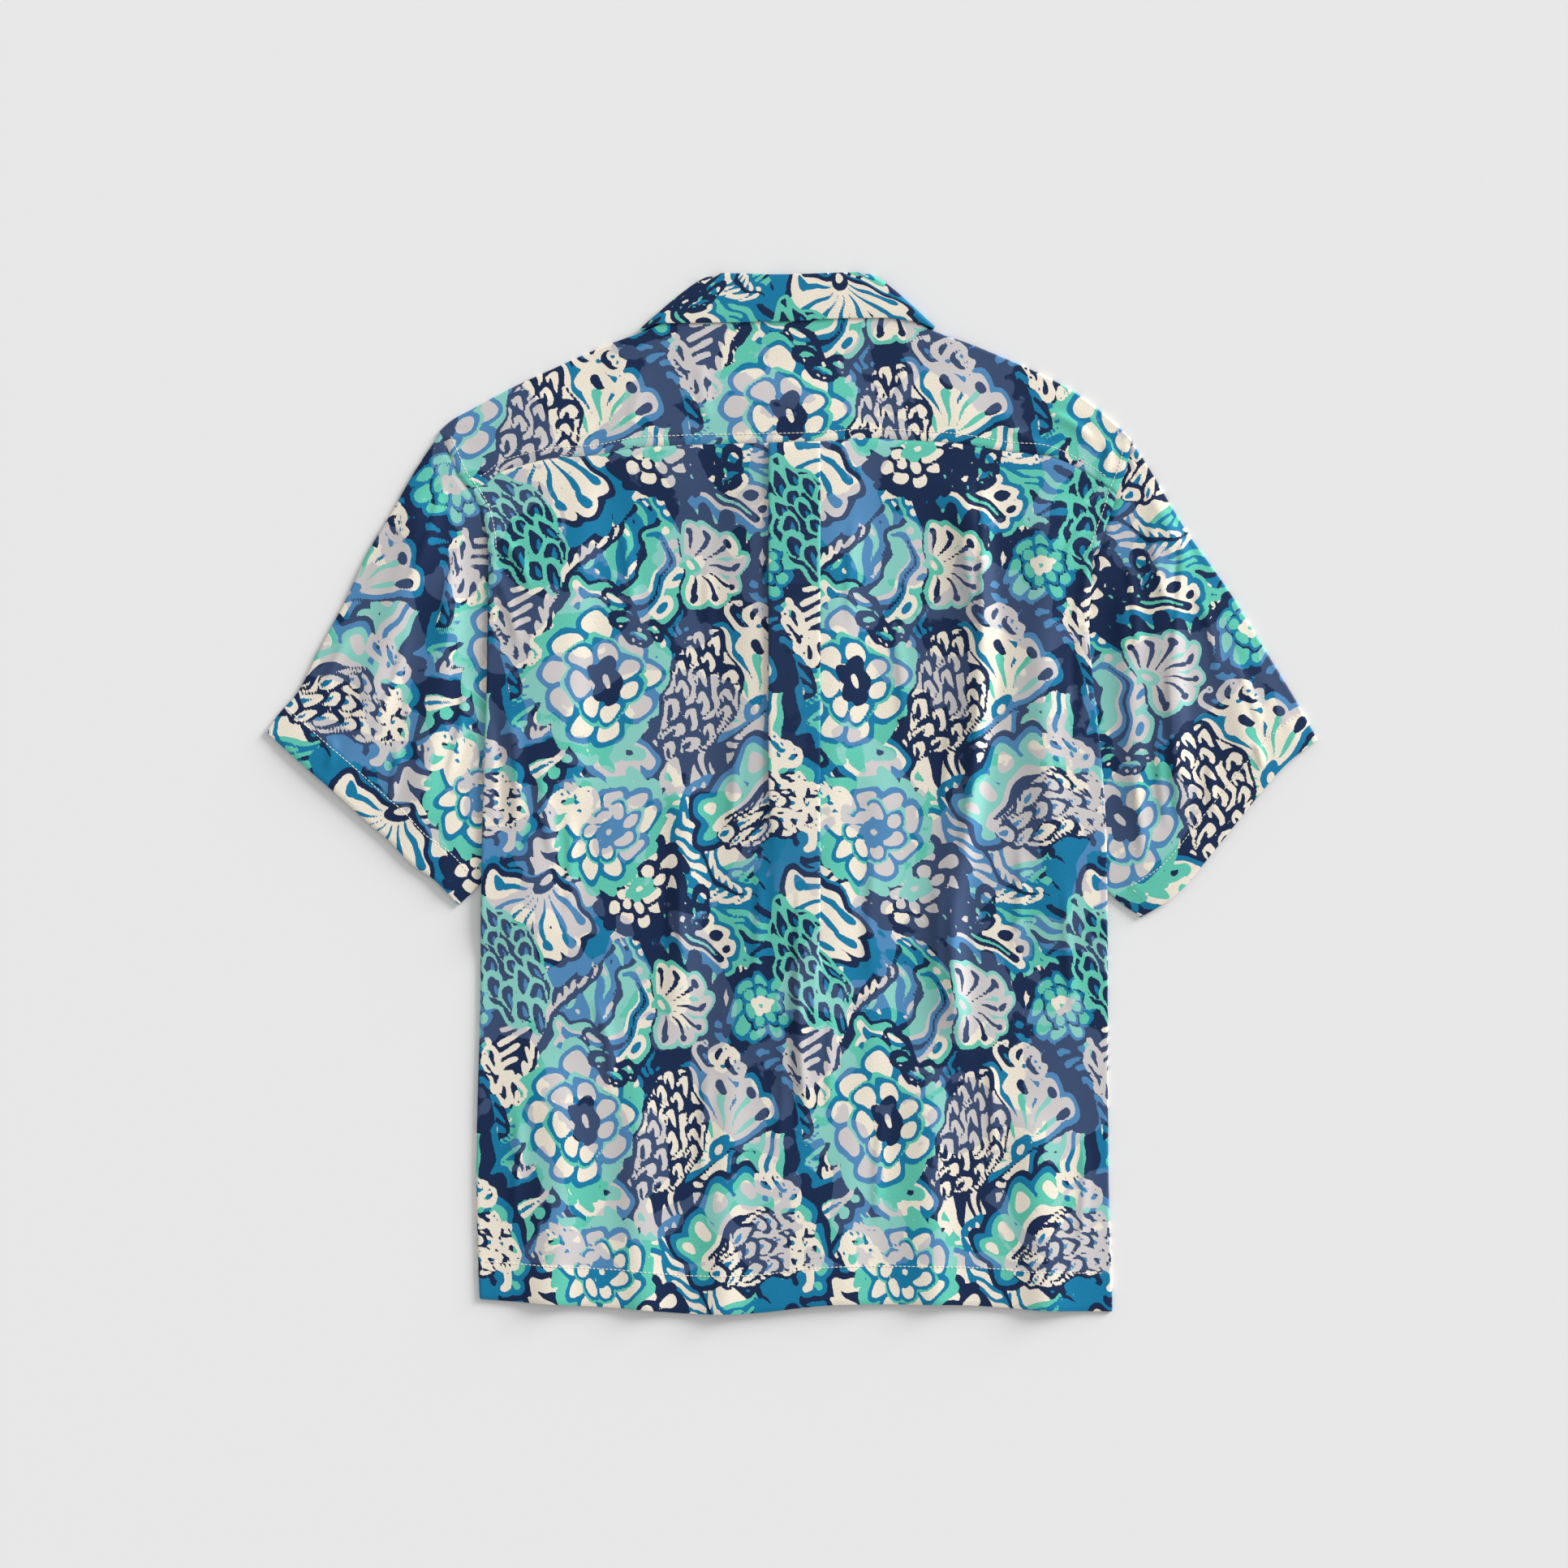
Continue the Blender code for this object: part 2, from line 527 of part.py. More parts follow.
def front_panel(side):
    sign = -1 if side == "left" else 1
    seam = front_seam(side)
    centre_x = sign * np.array([48.0, 24, 10, 1, -7, -LAP])
    neckline = np.stack([centre_x, height_along(NECKLINE, sign * centre_x)], -1)
    top = np.concatenate([seam, neckline])
    out_of_seam = across_of(np.gradient(seam, axis=0)) * sign
    top[:SHOULDER_STATIONS] -= out_of_seam * HALF_GAP
    hem_y = HEM[0].y if side == "left" else HEM[-1].y
    inset = CLOTH / 2 + TURN_RADIUS + SIDE_TURN + SEAM
    hem_outer = side_at(SIDES, hem_y, side) - sign * inset
    hem_x = np.r_[np.linspace(hem_outer, sign * 74, SHOULDER_STATIONS), centre_x]
    shares = [(x - x[0]) / (x[-1] - x[0]) for x in (top[:, 0], hem_x)]
    xy_hole, across_hole, _ = armhole(side)
    open_rows = TUCK_AT - FRONT_SEAM_AT + 1
    heights = np.r_[xy_hole[FRONT_SEAM_AT:TUCK_AT + 1, 1], SIDE_ROWS, hem_y]
    rows, seams = [], []
    for r, height in enumerate(heights):
        g = (heights[0] - height) / (heights[0] - heights[-1])
        if r < open_rows:
            end = xy_hole[FRONT_SEAM_AT + r] - across_hole[FRONT_SEAM_AT + r] * HALF_GAP
            end = end - (out_of_seam[0] * HALF_GAP if r == 0 else 0)
        else:
            end = np.array([side_at(SIDES, height, side) - sign * inset, height])
        share = shares[0] + (shares[1] - shares[0]) * g
        x = end[0] + (centre_x[-1] - end[0]) * share
        y = top[:, 1] + (height_along(HEM, hem_x) - top[:, 1]) * g
        if r == 0:
            x = top[:, 0].copy()
        x[0], y[0] = end
        z = low_z(x, y) + (lap_z(x) if side == "right" else 0)
        rows.append(stack(x, y, z))
        edge = np.zeros_like(rows[-1])
        if r == 0:
            edge[:SHOULDER_STATIONS, :2] = out_of_seam
        if r < open_rows:
            edge[0, :2] = across_hole[FRONT_SEAM_AT + r]
        seams.append(edge)
    return cloth("front_" + side, np.array(rows), seams=np.array(seams))


# The sleeves: flattened tubes from the armhole seam to the hem

def sleeve_piece(side):
    sign = -1 if side == "left" else 1
    over, hem, under = run(SLEEVE_OVER[side]), run(SLEEVE_HEM[side]), run(SLEEVE_UNDER[side])
    _, across, _ = armhole(side)
    outline = np.array(ARMHOLE[side], float)
    length = np.r_[0, np.cumsum(np.hypot(*np.diff(outline, axis=0).T))]
    sewn = outline + across * HALF_GAP
    hem_points = np.array(SLEEVE_HEM[side], float)
    hem_length = np.hypot(*np.diff(hem_points, axis=0).T).sum()

    def seam(t):
        return np.stack([np.interp(t, length / length[-1], sewn[:, k]) for k in (0, 1)], -1)

    along = np.r_[0, 0.04, 0.1, 0.19, 0.29, 0.4, 0.52, 0.64, 0.76, 0.88, 1.0]
    fixed = length[1:-1] / length[-1]
    rows, seams = [], []
    for s in along:
        width = (1 - s) * length[-1] + s * hem_length
        near = (CLOTH / 2 + TURN_RADIUS) / width
        even = np.linspace(0, 1, len(fixed) + 2)[1:-1]
        t = np.r_[near, fixed + (even - fixed) * rise(s, 0, 0.5), 1 - near]
        turn = near - TURN_RADIUS / width * np.cos(TURN_ANGLES)
        t_loop = np.r_[t, 1 - turn, t[::-1], turn[::-1]]
        lift = np.r_[np.ones(len(t)), 0.5 + 0.5 * np.sin(TURN_ANGLES), np.zeros(len(t)),
                     0.5 + 0.5 * np.sin(TURN_ANGLES[::-1])]
        xy = patch(seam, hem, over, under, t_loop, np.full(len(t_loop), s))
        x, y = xy[:, 0], xy[:, 1]
        outward = rise(-inward(x, np.minimum(y, ARMHOLE_TOP)), 3, 30) * rise(s, 0, 0.25)
        soft = rise(np.minimum(t_loop, 1 - t_loop) * width, TURN_RADIUS, 18)
        upper = np.r_[np.ones(len(t)), np.zeros(len(t_loop) - len(t))]
        rounded = upper * outward * soft * (FULLNESS + creases(SLEEVE_CREASES[side], x, y))
        rows.append(stack(x, y, FLOOR_LAYER + lift * LOFT + rounded))
        edge = np.zeros_like(rows[-1])
        if s == 0:
            ends = [np.repeat(across[k][None], len(TURN_ANGLES), axis=0) for k in (-1, 0)]
            edge[:, :2] = np.concatenate([across, ends[0], across[::-1], ends[1]])
        seams.append(edge)
    return cloth("sleeve_" + side, np.array(rows), closed=True, seams=np.array(seams))


# The collar: the leaf goes round both shoulders, and its stand shows only behind the neck

def collar_piece():
    stand_low = COLLAR_ROOM + FLOOR_LAYER + LOFT
    leaf_top = stand_low + LAYER
    leaf_low = FLOOR_LAYER
    bend = (leaf_top - leaf_low) / 2
    leaf_cells = np.linspace(0, 1, 6)
    roll = (leaf_top - stand_low) / 2
    stand_cells = np.array([1, 0.5, 0])
    before_leaf = len(stand_cells) + len(TURN_ANGLES)
    sections = []

    def leaf_of(row):
        start, end = np.array([row.roll_x, row.roll_y]), np.array([row.edge_x, row.edge_y])
        return start + (end - start) * leaf_cells[:, None]

    def add(xy, z, stand=False):
        """One section: the stand's points, the roll's, then the leaf's."""
        leaf = stack(xy[:, 0], xy[:, 1], z)
        if not stand:
            fill = np.repeat(leaf[:1], before_leaf, axis=0)
            sections.append((np.concatenate([fill, leaf]), False))
            return
        start = leaf[0].copy()
        start[1] -= CLOTH / 2 + roll
        leaf = np.concatenate([start[None], leaf[1:]])
        down = start[1] + (NECK_Y + SEAM - start[1]) * stand_cells
        across = start[0] * (1 + (FOOT_SPREAD - 1) * stand_cells)
        base = stack(across, down, stand_low)
        round_y = start[1] + roll * np.cos(TURN_ANGLES)
        round_z = stand_low + roll + roll * np.sin(TURN_ANGLES)
        rolled = stack(start[0], round_y, round_z)[::-1]
        sections.append((np.concatenate([base, rolled, leaf]), True))

    def mirrored(row):
        return Section(-row.roll_x, row.roll_y, -row.edge_x, row.edge_y)

    def bend_sections(side, angles):
        xy = leaf_of(COLLAR_BEND[side])
        run_xy = xy[-1] - xy[0]
        out = np.array([-run_xy[1], run_xy[0]]) / np.hypot(*run_xy)
        if out[1] < 0:
            out = -out
        for angle in angles:
            place = xy - out * (CLOTH / 2 + bend * (1 - np.cos(angle)))
            add(place, leaf_low + bend + bend * np.sin(angle))

    for row in COLLAR_FRONT:
        add(leaf_of(row), leaf_low)
    half_turn = np.radians(np.arange(-90, 91, 30))
    bend_sections("left", half_turn)
    for row in COLLAR_BACK:
        add(leaf_of(row), leaf_top, stand=True)
    bend_sections("right", half_turn[::-1])
    for row in reversed(COLLAR_FRONT):
        add(leaf_of(mirrored(row)), leaf_low)
    middle = np.array([points for points, _ in sections])
    stands = np.array([has for _, has in sections])
    cells = np.ones((len(sections) - 1, middle.shape[1] - 1), bool)
    cells[~(stands[:-1] & stands[1:]), :before_leaf] = False
    return cloth("collar", middle, cells)


# The buttons: a turned disc with a rim and a hollow, under the left front with its hollow face down

def button(index, y):
    rim_height, hollow = 0.7, 0.6       # how far the rim is rounded off, and how deep the hollow is
    profile = [(0.0, hollow), (2.9, hollow), (3.6, 0.0), (4.7, 0.0), (BUTTON_RADIUS, rim_height),
               (BUTTON_RADIUS, BUTTON_DEPTH - rim_height), (4.6, BUTTON_DEPTH), (0.0, BUTTON_DEPTH)]
    sides = 16
    ring = [(math.cos(math.tau * k / sides), math.sin(math.tau * k / sides)) for k in range(sides)]
    points = [(0, y, profile[0][1])]
    points += [(r * cx, y + r * cy, z) for r, z in profile[1:-1] for cx, cy in ring]
    points.append((0, y, profile[-1][1]))
    faces = []
    last = len(points) - 1
    for k in range(sides):
        n = (k + 1) % sides
        faces.append((0, 1 + n, 1 + k))
        for level in range(len(profile) - 3):
            a = 1 + level * sides
            faces.append((a + k, a + n, a + sides + n, a + sides + k))
        a = 1 + (len(profile) - 3) * sides
        faces.append((a + k, a + n, last))
    return solid(f"button_{index}", np.array(points, float), faces)


for old in list(bpy.data.objects):
    bpy.data.objects.remove(old, do_unlink=True)

finish(back_panel(), "teal")
finish(yoke_piece(), "navy")
finish(collar_piece(), "cream")
for wearer_side in ("left", "right"):
    finish(front_panel(wearer_side), "mint" if wearer_side == "left" else "cream")
    finish(sleeve_piece(wearer_side), "navy" if wearer_side == "left" else "teal")
for number, place_y in enumerate(button_heights(), 1):
    finish(button(number, place_y), "shell", 0.25)
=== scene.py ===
import math
from collections import namedtuple

import bpy
import numpy as np
from mathutils.bvhtree import BVHTree
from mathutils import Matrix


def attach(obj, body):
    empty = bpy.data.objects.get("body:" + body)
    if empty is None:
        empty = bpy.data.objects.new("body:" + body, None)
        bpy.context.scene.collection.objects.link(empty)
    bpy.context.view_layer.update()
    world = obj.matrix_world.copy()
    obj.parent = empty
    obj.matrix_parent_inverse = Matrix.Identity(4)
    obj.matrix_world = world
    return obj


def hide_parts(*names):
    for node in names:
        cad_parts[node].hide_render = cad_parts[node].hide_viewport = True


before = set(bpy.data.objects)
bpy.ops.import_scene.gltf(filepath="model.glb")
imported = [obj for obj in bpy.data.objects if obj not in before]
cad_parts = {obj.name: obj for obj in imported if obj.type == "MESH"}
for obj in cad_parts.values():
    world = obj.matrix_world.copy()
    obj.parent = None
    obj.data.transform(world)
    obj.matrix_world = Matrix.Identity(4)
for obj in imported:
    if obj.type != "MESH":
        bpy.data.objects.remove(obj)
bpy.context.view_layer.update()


# ---------------------------------------------------------------------------------------------------
# Floor, camera and light: the shirt lies on a pale floor and is seen from straight above, in the
# light of one large soft window, low to the upper right, and of a bright room.

MM = 0.001
FRAME_WIDTH = 1.1785           # what the photograph shows across, at the shirt
FRAME_CENTRE = (-0.0058, 0.0067)
LENS, SENSOR = 80.0, 36.0
WINDOW_LEAN, WINDOW_HEADING, WINDOW_SPREAD = 74, -52, 28      # degrees: from upright, round, and across
WINDOW_POWER, ROOM_POWER = 4.57, 0.60
FLOOR_SIZE, FLOOR_GREY = 40.0, 0.82


def plain_material(name, colour, roughness):
    material = bpy.data.materials.new(name)
    material.use_nodes = True
    shader = material.node_tree.nodes["Principled BSDF"]
    shader.inputs["Base Color"].default_value = (*colour, 1)
    shader.inputs["Roughness"].default_value = roughness
    return material


def deselect():
    bpy.ops.object.select_all(action="DESELECT")


deselect()
bpy.ops.mesh.primitive_plane_add(size=FLOOR_SIZE, location=(0, 0, 0))
floor = bpy.context.object
floor.name = "floor"
floor.data.materials.append(plain_material("pale_floor", (FLOOR_GREY,) * 3, 0.9))

camera = bpy.data.objects.new("camera", bpy.data.cameras.new("camera"))
bpy.context.scene.collection.objects.link(camera)
camera.data.lens, camera.data.sensor_width = LENS, SENSOR
camera.location = (*FRAME_CENTRE, FRAME_WIDTH * LENS / SENSOR)
bpy.context.scene.camera = camera

window = bpy.data.objects.new("window_light", bpy.data.lights.new("window_light", "SUN"))
bpy.context.scene.collection.objects.link(window)
window.rotation_euler = (math.radians(-WINDOW_LEAN), 0, math.radians(WINDOW_HEADING))
window.data.angle = math.radians(WINDOW_SPREAD)
window.data.energy = WINDOW_POWER
room = bpy.data.worlds.new("soft_room")
room.use_nodes = True
room.node_tree.nodes["Background"].inputs["Color"].default_value = (0.95, 0.95, 0.95, 1)
room.node_tree.nodes["Background"].inputs["Strength"].default_value = ROOM_POWER
bpy.context.scene.world = room
bpy.context.scene.view_settings.view_transform = "Standard"


# ---------------------------------------------------------------------------------------------------
# The printed cloth: light cotton and silk, printed in navy, teal and mint on cream with a generic
# layout of flowers, shells, waves, ferns, cones and sprigs over sprays of flames. It is opaque and
# finely felted in places and sheer in others.

TILE = (262, 330)     # the print's repeat, across and down, in millimetres
INKS = ("navy", "teal", "mint", "cream")
REACH = 5.0           # how far from a motif's edge its field still changes
FAR = 1e3


def stroke(x, y, heading, length, bend, curl, wide, tip=0.3, steps=11, belly=0.28):
    """A brush stroke: rows of x, y and half width, fullest at its belly and thin at its tip."""
    s = np.linspace(0, 1, steps)
    turn = math.radians(heading) + np.radians(bend) * s + np.radians(curl) * s * s
    mid, step = (turn[:-1] + turn[1:]) / 2, length / (steps - 1)
    swell = np.minimum(0.35 + 0.65 * s / belly, 1.0) * np.minimum((1 - s) / (1 - belly), 1.0) ** 0.8
    return np.c_[x + np.r_[0, np.cumsum(np.cos(mid) * step)], y + np.r_[0, np.cumsum(np.sin(mid) * step)],
                 tip + (wide - tip) * swell]


def ball(x, y, r):
    return np.array([[x, y, r], [x + 0.01, y, r]])


def ring(x, y, radius, count, r, turn=0.0, wobble=0.0):
    a = np.radians(turn) + math.tau * np.arange(count) / count
    out = radius * (1 + wobble * np.sin(2.1 * np.arange(count) + turn))
    return [ball(px, py, r) for px, py in zip(x + out * np.cos(a), y + out * np.sin(a))]


def distance(u, v, line):
    """How far points lie from a stroke's edge, below 0 inside it."""
    best = np.full(u.shape, FAR)
    for a, b in zip(line[:-1], line[1:]):
        d = b[:2] - a[:2]
        t = np.clip(((u - a[0]) * d[0] + (v - a[1]) * d[1]) / max(d @ d, 1e-6), 0, 1)
        half = a[2] + t * (b[2] - a[2])
        best = np.minimum(best, np.hypot(u - a[0] - t * d[0], v - a[1] - t * d[1]) - half)
    return best


class Print:
    """Four ink fields on one repeat of the cloth: the highest field shows."""

    def __init__(self):
        self.fields = {ink: np.full(TILE, REACH if ink == "cream" else -REACH) for ink in INKS}

    def stamp(self, ink, lines, grow=0.0):
        """Ink over one stroke or many, grown by so many millimetres."""
        lines = [lines] if isinstance(lines, np.ndarray) else lines
        low = np.min([(line[:, :2] - line[:, 2:]).min(0) for line in lines], 0) - grow - REACH
        high = np.max([(line[:, :2] + line[:, 2:]).max(0) for line in lines], 0) + grow + REACH
        i, j = (np.arange(math.floor(a), math.ceil(b)) for a, b in zip(low, high))
        near = np.full((len(i), len(j)), FAR)
        for line in lines:
            pad = REACH + grow + line[:, 2].max()
            a, b = (slice(*np.searchsorted(cells, (line[:, k].min() - pad, line[:, k].max() + pad)))
                    for k, cells in enumerate((i, j)))
            u, v = np.meshgrid(i[a] + 0.5, j[b] + 0.5, indexing="ij")
            near[a, b] = np.minimum(near[a, b], distance(u, v, line))
        near = np.clip(near - grow, -REACH, REACH)
        at = np.ix_(i % TILE[0], j % TILE[1])
        for other, field in self.fields.items():
            field[at] = np.maximum(field[at], -near) if other == ink else np.minimum(field[at], near)


def flames(x, y, turn, spread_angle, count, length, wide, hand, start=0.0):
    """Curved flames that fan out from an arc: each leans more, the further it is from the middle."""
    made = []
    for i in range(count):
        far = i / (count - 1) * 2 - 1
        lean = turn + far * spread_angle
        root = (x + start * math.cos(math.radians(lean)), y + start * math.sin(math.radians(lean)))
        long = length * (1 - 0.30 * far * far) * (1 + 0.16 * math.sin(2.3 * i + turn))
        made.append(stroke(*root, lean, long, 24 * hand - 14 * far, 56 * hand, wide, 0.3, 9, 0.3))
    return made


def lengths_along(points):
    """How far along a row each of its points lies."""
    return np.r_[0, np.cumsum(np.hypot(*np.diff(points[:, :2], axis=0).T))]


LOBES_FROM, LOBE_STEP = 0.08, 1.30      # where along a stroke its lobes start, and pitch over radius


def lobes_along(line, side, radius):
    """Round lobes along one side of a stroke, smaller towards its tip."""
    way = np.gradient(line[:, :2], axis=0)
    way /= np.hypot(*way.T)[:, None]
    length = lengths_along(line)
    at = LOBES_FROM * length[-1]
    made = []
    while at < 0.97 * length[-1]:
        share = at / length[-1]
        r = radius * (0.45 + 0.55 * math.sin(math.pi * min(1.0, 0.25 + 0.8 * share)))
        px, py, wx, wy, w = (np.interp(at, length, known) for known in (*line[:, :2].T, *way.T, line[:, 2]))
        made.append(ball(px - side * wy * (w + 0.25 * r), py + side * wx * (w + 0.25 * r), r))
        at += LOBE_STEP * r
    return made


def tuft(p, x, y, k, turn, hand, inks):
    """A spray of broad flames from one root, each with a lighter heart."""
    outer, inner, heart = inks
    fan = flames(x, y, turn, 74, 7, 74 * k, 8.2 * k, hand, 8 * k)
    p.stamp(outer, fan, 2.4 * k)
    p.stamp(inner, fan, -1.6 * k)
    p.stamp(heart, [np.c_[f[1:-3, :2], f[1:-3, 2] * 0.30] for f in fan[::2]])


def wave(p, x, y, k, turn, hand, inks):
    """A breaking wave: a bowed crest in nested bands, lobed on its back and fringed with flames inside."""
    halo, band, light, core = inks
    crest = stroke(x, y, turn, 132 * k, 50 * hand, 150 * hand, 14 * k, 3.0 * k, 19, 0.35)
    back = lobes_along(crest, -hand, 12.5 * k)
    way = np.gradient(crest[:, :2], axis=0)
    fringe = []
    for i in range(2, 16, 2):
        heading = math.degrees(math.atan2(way[i, 1], way[i, 0]))
        long = (34 + 7 * (i % 4)) * k * math.sin(math.pi * (i + 3) / 21)
        fringe.append(stroke(*crest[i, :2], heading + 62 * hand, long, -14 * hand, -60 * hand, 6.2 * k,
                             0.3, 8, 0.3))
    p.stamp(halo, back + fringe + [crest], 5.0 * k)
    p.stamp(band, back + fringe + [crest], 1.4 * k)
    p.stamp(light, back + [crest], -2.6 * k)
    p.stamp(core, back, -7.0 * k)
    p.stamp(core, np.c_[crest[1:, :2], crest[1:, 2] * 0.46])
    p.stamp(halo, np.c_[crest[2:-2, :2], crest[2:-2, 2] * 0.14])


def shell(p, x, y, k, turn, hand, inks):
    """A scallop shell: ribs from one hinge to a lobed rim, in nested bands."""
    halo, band, light, rib = inks
    rim, ribs = [], []
    for i in range(7):
        lean = math.radians(turn + (i - 3) * 24 * (1 + 0.04 * hand))
        out = (52 - 1.3 * (i - 3) ** 2) * k
        rim.append(ball(x + out * math.cos(lean), y + out * math.sin(lean), 12.5 * k))
        ribs.append(stroke(x, y, math.degrees(lean), out, 0, 6 * (i - 3), 10.5 * k, 3.0 * k, 8, 0.95))
    spikes = flames(x, y, turn, 88, 11, 30 * k, 6.0 * k, hand, 50 * k)
    p.stamp(halo, spikes + rim + ribs, 3.8 * k)
    p.stamp(band, rim + ribs, 1.6 * k)
    p.stamp(light, rim + ribs, -2.4 * k)
    p.stamp(rib, [np.c_[r[2:-1, :2], np.linspace(0.8, 2.6, len(r) - 3) * k] for r in ribs])
    p.stamp(halo, [ball(*r[-1, :2], 4.4 * k) for r in ribs])
    p.stamp(band, [ball(x, y, 9 * k)] + [ball(*r[1, :2], 4.5 * k) for r in ribs])
    p.stamp(light, [ball(x, y, 4.6 * k)])


def peony(p, x, y, k, turn, hand, inks):
    """A full flower: three rings of lobes, each turned against the last, round a small dark middle."""
    halo, band, light, core = inks
    rings = [ring(x, y, 34 * k, 9, 12.5 * k, turn, 0.06),
             ring(x + 2 * k, y, 20 * k, 7, 9.5 * k, turn + 30, 0.08),
             ring(x + 3 * k, y + k, 9 * k, 5, 5.4 * k, turn + 10)]
    fringe = [stroke(x + 38 * k * math.cos(a), y + 38 * k * math.sin(a), math.degrees(a) + 20 * hand,
                     22 * k, 30 * hand, 50 * hand, 5.0 * k, 0.3, 7)
              for a in np.radians(turn + 24 * np.arange(15))]
    p.stamp(halo, fringe + rings[0] + [ball(x, y, 32 * k)], 3.4 * k)
    p.stamp(band, rings[0] + [ball(x, y, 32 * k)], 1.0 * k)
    p.stamp(light, rings[0], -3.2 * k)
    p.stamp(halo, rings[1] + [ball(x, y, 18 * k)], 2.8 * k)
    p.stamp(band, rings[1] + [ball(x, y, 18 * k)], 0.6 * k)
    p.stamp(light, rings[1] + [ball(x, y, 14 * k)], -2.4 * k)
    p.stamp(core, rings[2], 1.0 * k)
    p.stamp(light, [ball(x + 3 * k, y + k, 3.4 * k)])


def cone(p, x, y, k, turn, hand, inks):
    """A cone of overlapping scales, drawn from its tip to its base."""
    edge, ground, heart = inks
    a = math.radians(turn)
    way, side = np.array([math.cos(a), math.sin(a)]), np.array([-math.sin(a), math.cos(a)])
    at = np.array([x, y], float)
    body = []
    for far in np.arange(7) / 6:
        half = 30 * math.sin(math.pi * (0.10 + 0.86 * far) ** 0.85) * k + 2 * k
        body.append([*(at + way * (52 - 100 * far) * k), half])
    p.stamp(edge, np.array(body), 2.6 * k)
    p.stamp(ground, np.array(body))
    for i, (*place, half) in enumerate(body):
        count = max(1, int(round(half / (9.5 * k))))
        for j in range(count):
            across = (j - (count - 1) / 2) * 2 * half / count + hand * 1.2 * k * (-1) ** i
            spot = place + side * across
            root = spot - way * 8 * k
            p.stamp(edge, stroke(*root, turn, 21 * k, 0, 0, 9.4 * k, 1.5, 6, 0.55))
            p.stamp(ground, stroke(*root, turn, 17 * k, 0, 0, 6.4 * k, 1.0, 6, 0.55))
            p.stamp(heart, stroke(*root, turn, 11 * k, 0, 30 * hand, 2.2 * k, 0.8, 5, 0.5))


def fern(p, x, y, k, turn, hand, inks):
    """A long arching fern with broad hooked teeth on both sides."""
    outer, inner, rib = inks
    spine = stroke(x, y, turn, 124 * k, 25 * hand, 78 * hand, 4.6 * k, 1.0, 15, 0.4)
    teeth = []
    for i in range(1, 14):
        heading = math.degrees(math.atan2(*(spine[i + 1, :2] - spine[i - 1, :2])[::-1]))
        grow = math.sin(math.pi * (i + 1.5) / 16)
        for side, long, wide in ((-hand, 36, 5.6), (hand, 25, 4.8)):
            teeth.append(stroke(*spine[i, :2], heading + side * 56, long * k * grow, side * -22, side * -62,
                                wide * k, 0.3, 8))
    p.stamp(outer, teeth + [spine], 1.5 * k)
    p.stamp(inner, [np.c_[tooth[1:-2, :2], tooth[1:-2, 2] * 0.44] for tooth in teeth])
    p.stamp(rib, np.c_[spine[:, :2], np.maximum(spine[:, 2] * 0.36, 0.8)])


def sprig(p, x, y, k, turn, hand, inks):
    """Curled shoots from one stem, each ending in a bead."""
    main, bead = inks
    shoots = []
    for lean, length, curl in ((0, 74, 190), (50, 54, 220), (-46, 58, -210), (100, 40, 230), (-96, 42, -220)):
        shoot = stroke(x, y, turn + lean * hand, length * k, curl * 0.1 * hand, curl * hand, 5.0 * k, 1.8 * k,
                       12, 0.45)
        shoots += [shoot, ball(*shoot[-1, :2], 5.4 * k)]
    p.stamp(main, shoots)
    p.stamp(bead, [ball(*shoot[-1, :2], 2.2 * k) for shoot in shoots[1::2]] + [ball(x, y, 3.0 * k)])


MOTIFS = {"wave": wave, "shell": shell, "peony": peony, "cone": cone, "fern": fern, "sprig": sprig}

# The ground: sprays of flames all over, on a slanted lattice, each in one of these sets of inks
GROUND = ["navy teal mint", "cream navy cream", "teal mint cream", "navy teal cream", "mint teal mint",
          "cream cream navy", "teal navy teal"]
GROUND_ROWS, GROUND_COLS = 6, 4
ROUND_TURN = 137.5      # degrees from each spray to the next


def listed(kind, *rows):
    """A short table: rows of one kind, with named columns."""
    return [kind(*row) for row in rows]


Motif = namedtuple("Motif", "kind across down size turn hand inks")
LARGE = listed(
    Motif,      # kind, across, down, size, turn, hand, inks
    ("fern", 20, 28, 118, 62, 1, "navy cream cream"),
    ("fern", 150, 112, 112, 20, -1, "navy teal cream"),
    ("fern", 96, 210, 120, 205, 1, "navy cream navy"),
    ("fern", 236, 246, 108, 160, -1, "teal cream navy"),
    ("wave", 118, 20, 112, 150, -1, "navy teal cream mint"),
    ("wave", 250, 96, 116, 250, 1, "teal navy mint cream"),
    ("wave", 58, 150, 90, 330, 1, "navy mint cream teal"),
    ("wave", 178, 300, 118, 60, -1, "navy teal mint cream"),
    ("wave", 196, 196, 84, 110, 1, "mint teal cream navy"),
    ("shell", 196, 60, 106, 115, 1, "navy teal cream mint"),
    ("shell", 44, 262, 98, 250, -1, "teal navy cream teal"),
    ("shell", 142, 168, 72, 10, 1, "navy mint cream navy"),
    ("peony", 76, 84, 104, 10, 1, "mint teal cream navy"),
    ("peony", 128, 256, 72, 40, -1, "navy navy cream mint"),
    ("peony", 236, 168, 62, 25, 1, "navy teal mint cream"),
    ("peony", 92, 302, 82, 60, 1, "mint teal cream teal"),
    ("cone", 150, 66, 84, 70, 1, "navy cream navy"), ("cone", 16, 196, 88, 118, -1, "mint navy teal"),
    ("cone", 230, 316, 82, 20, 1, "navy cream teal"), ("sprig", 104, 128, 62, 80, 1, "navy cream"),
    ("sprig", 204, 128, 60, 200, -1, "cream teal"), ("sprig", 60, 318, 60, 310, 1, "cream teal"),
    ("sprig", 8, 118, 58, 20, -1, "cream navy"), ("sprig", 176, 246, 60, 140, 1, "navy mint"),
    ("sprig", 252, 34, 62, 250, 1, "cream teal"), ("sprig", 8, 316, 58, 120, -1, "cream navy"))


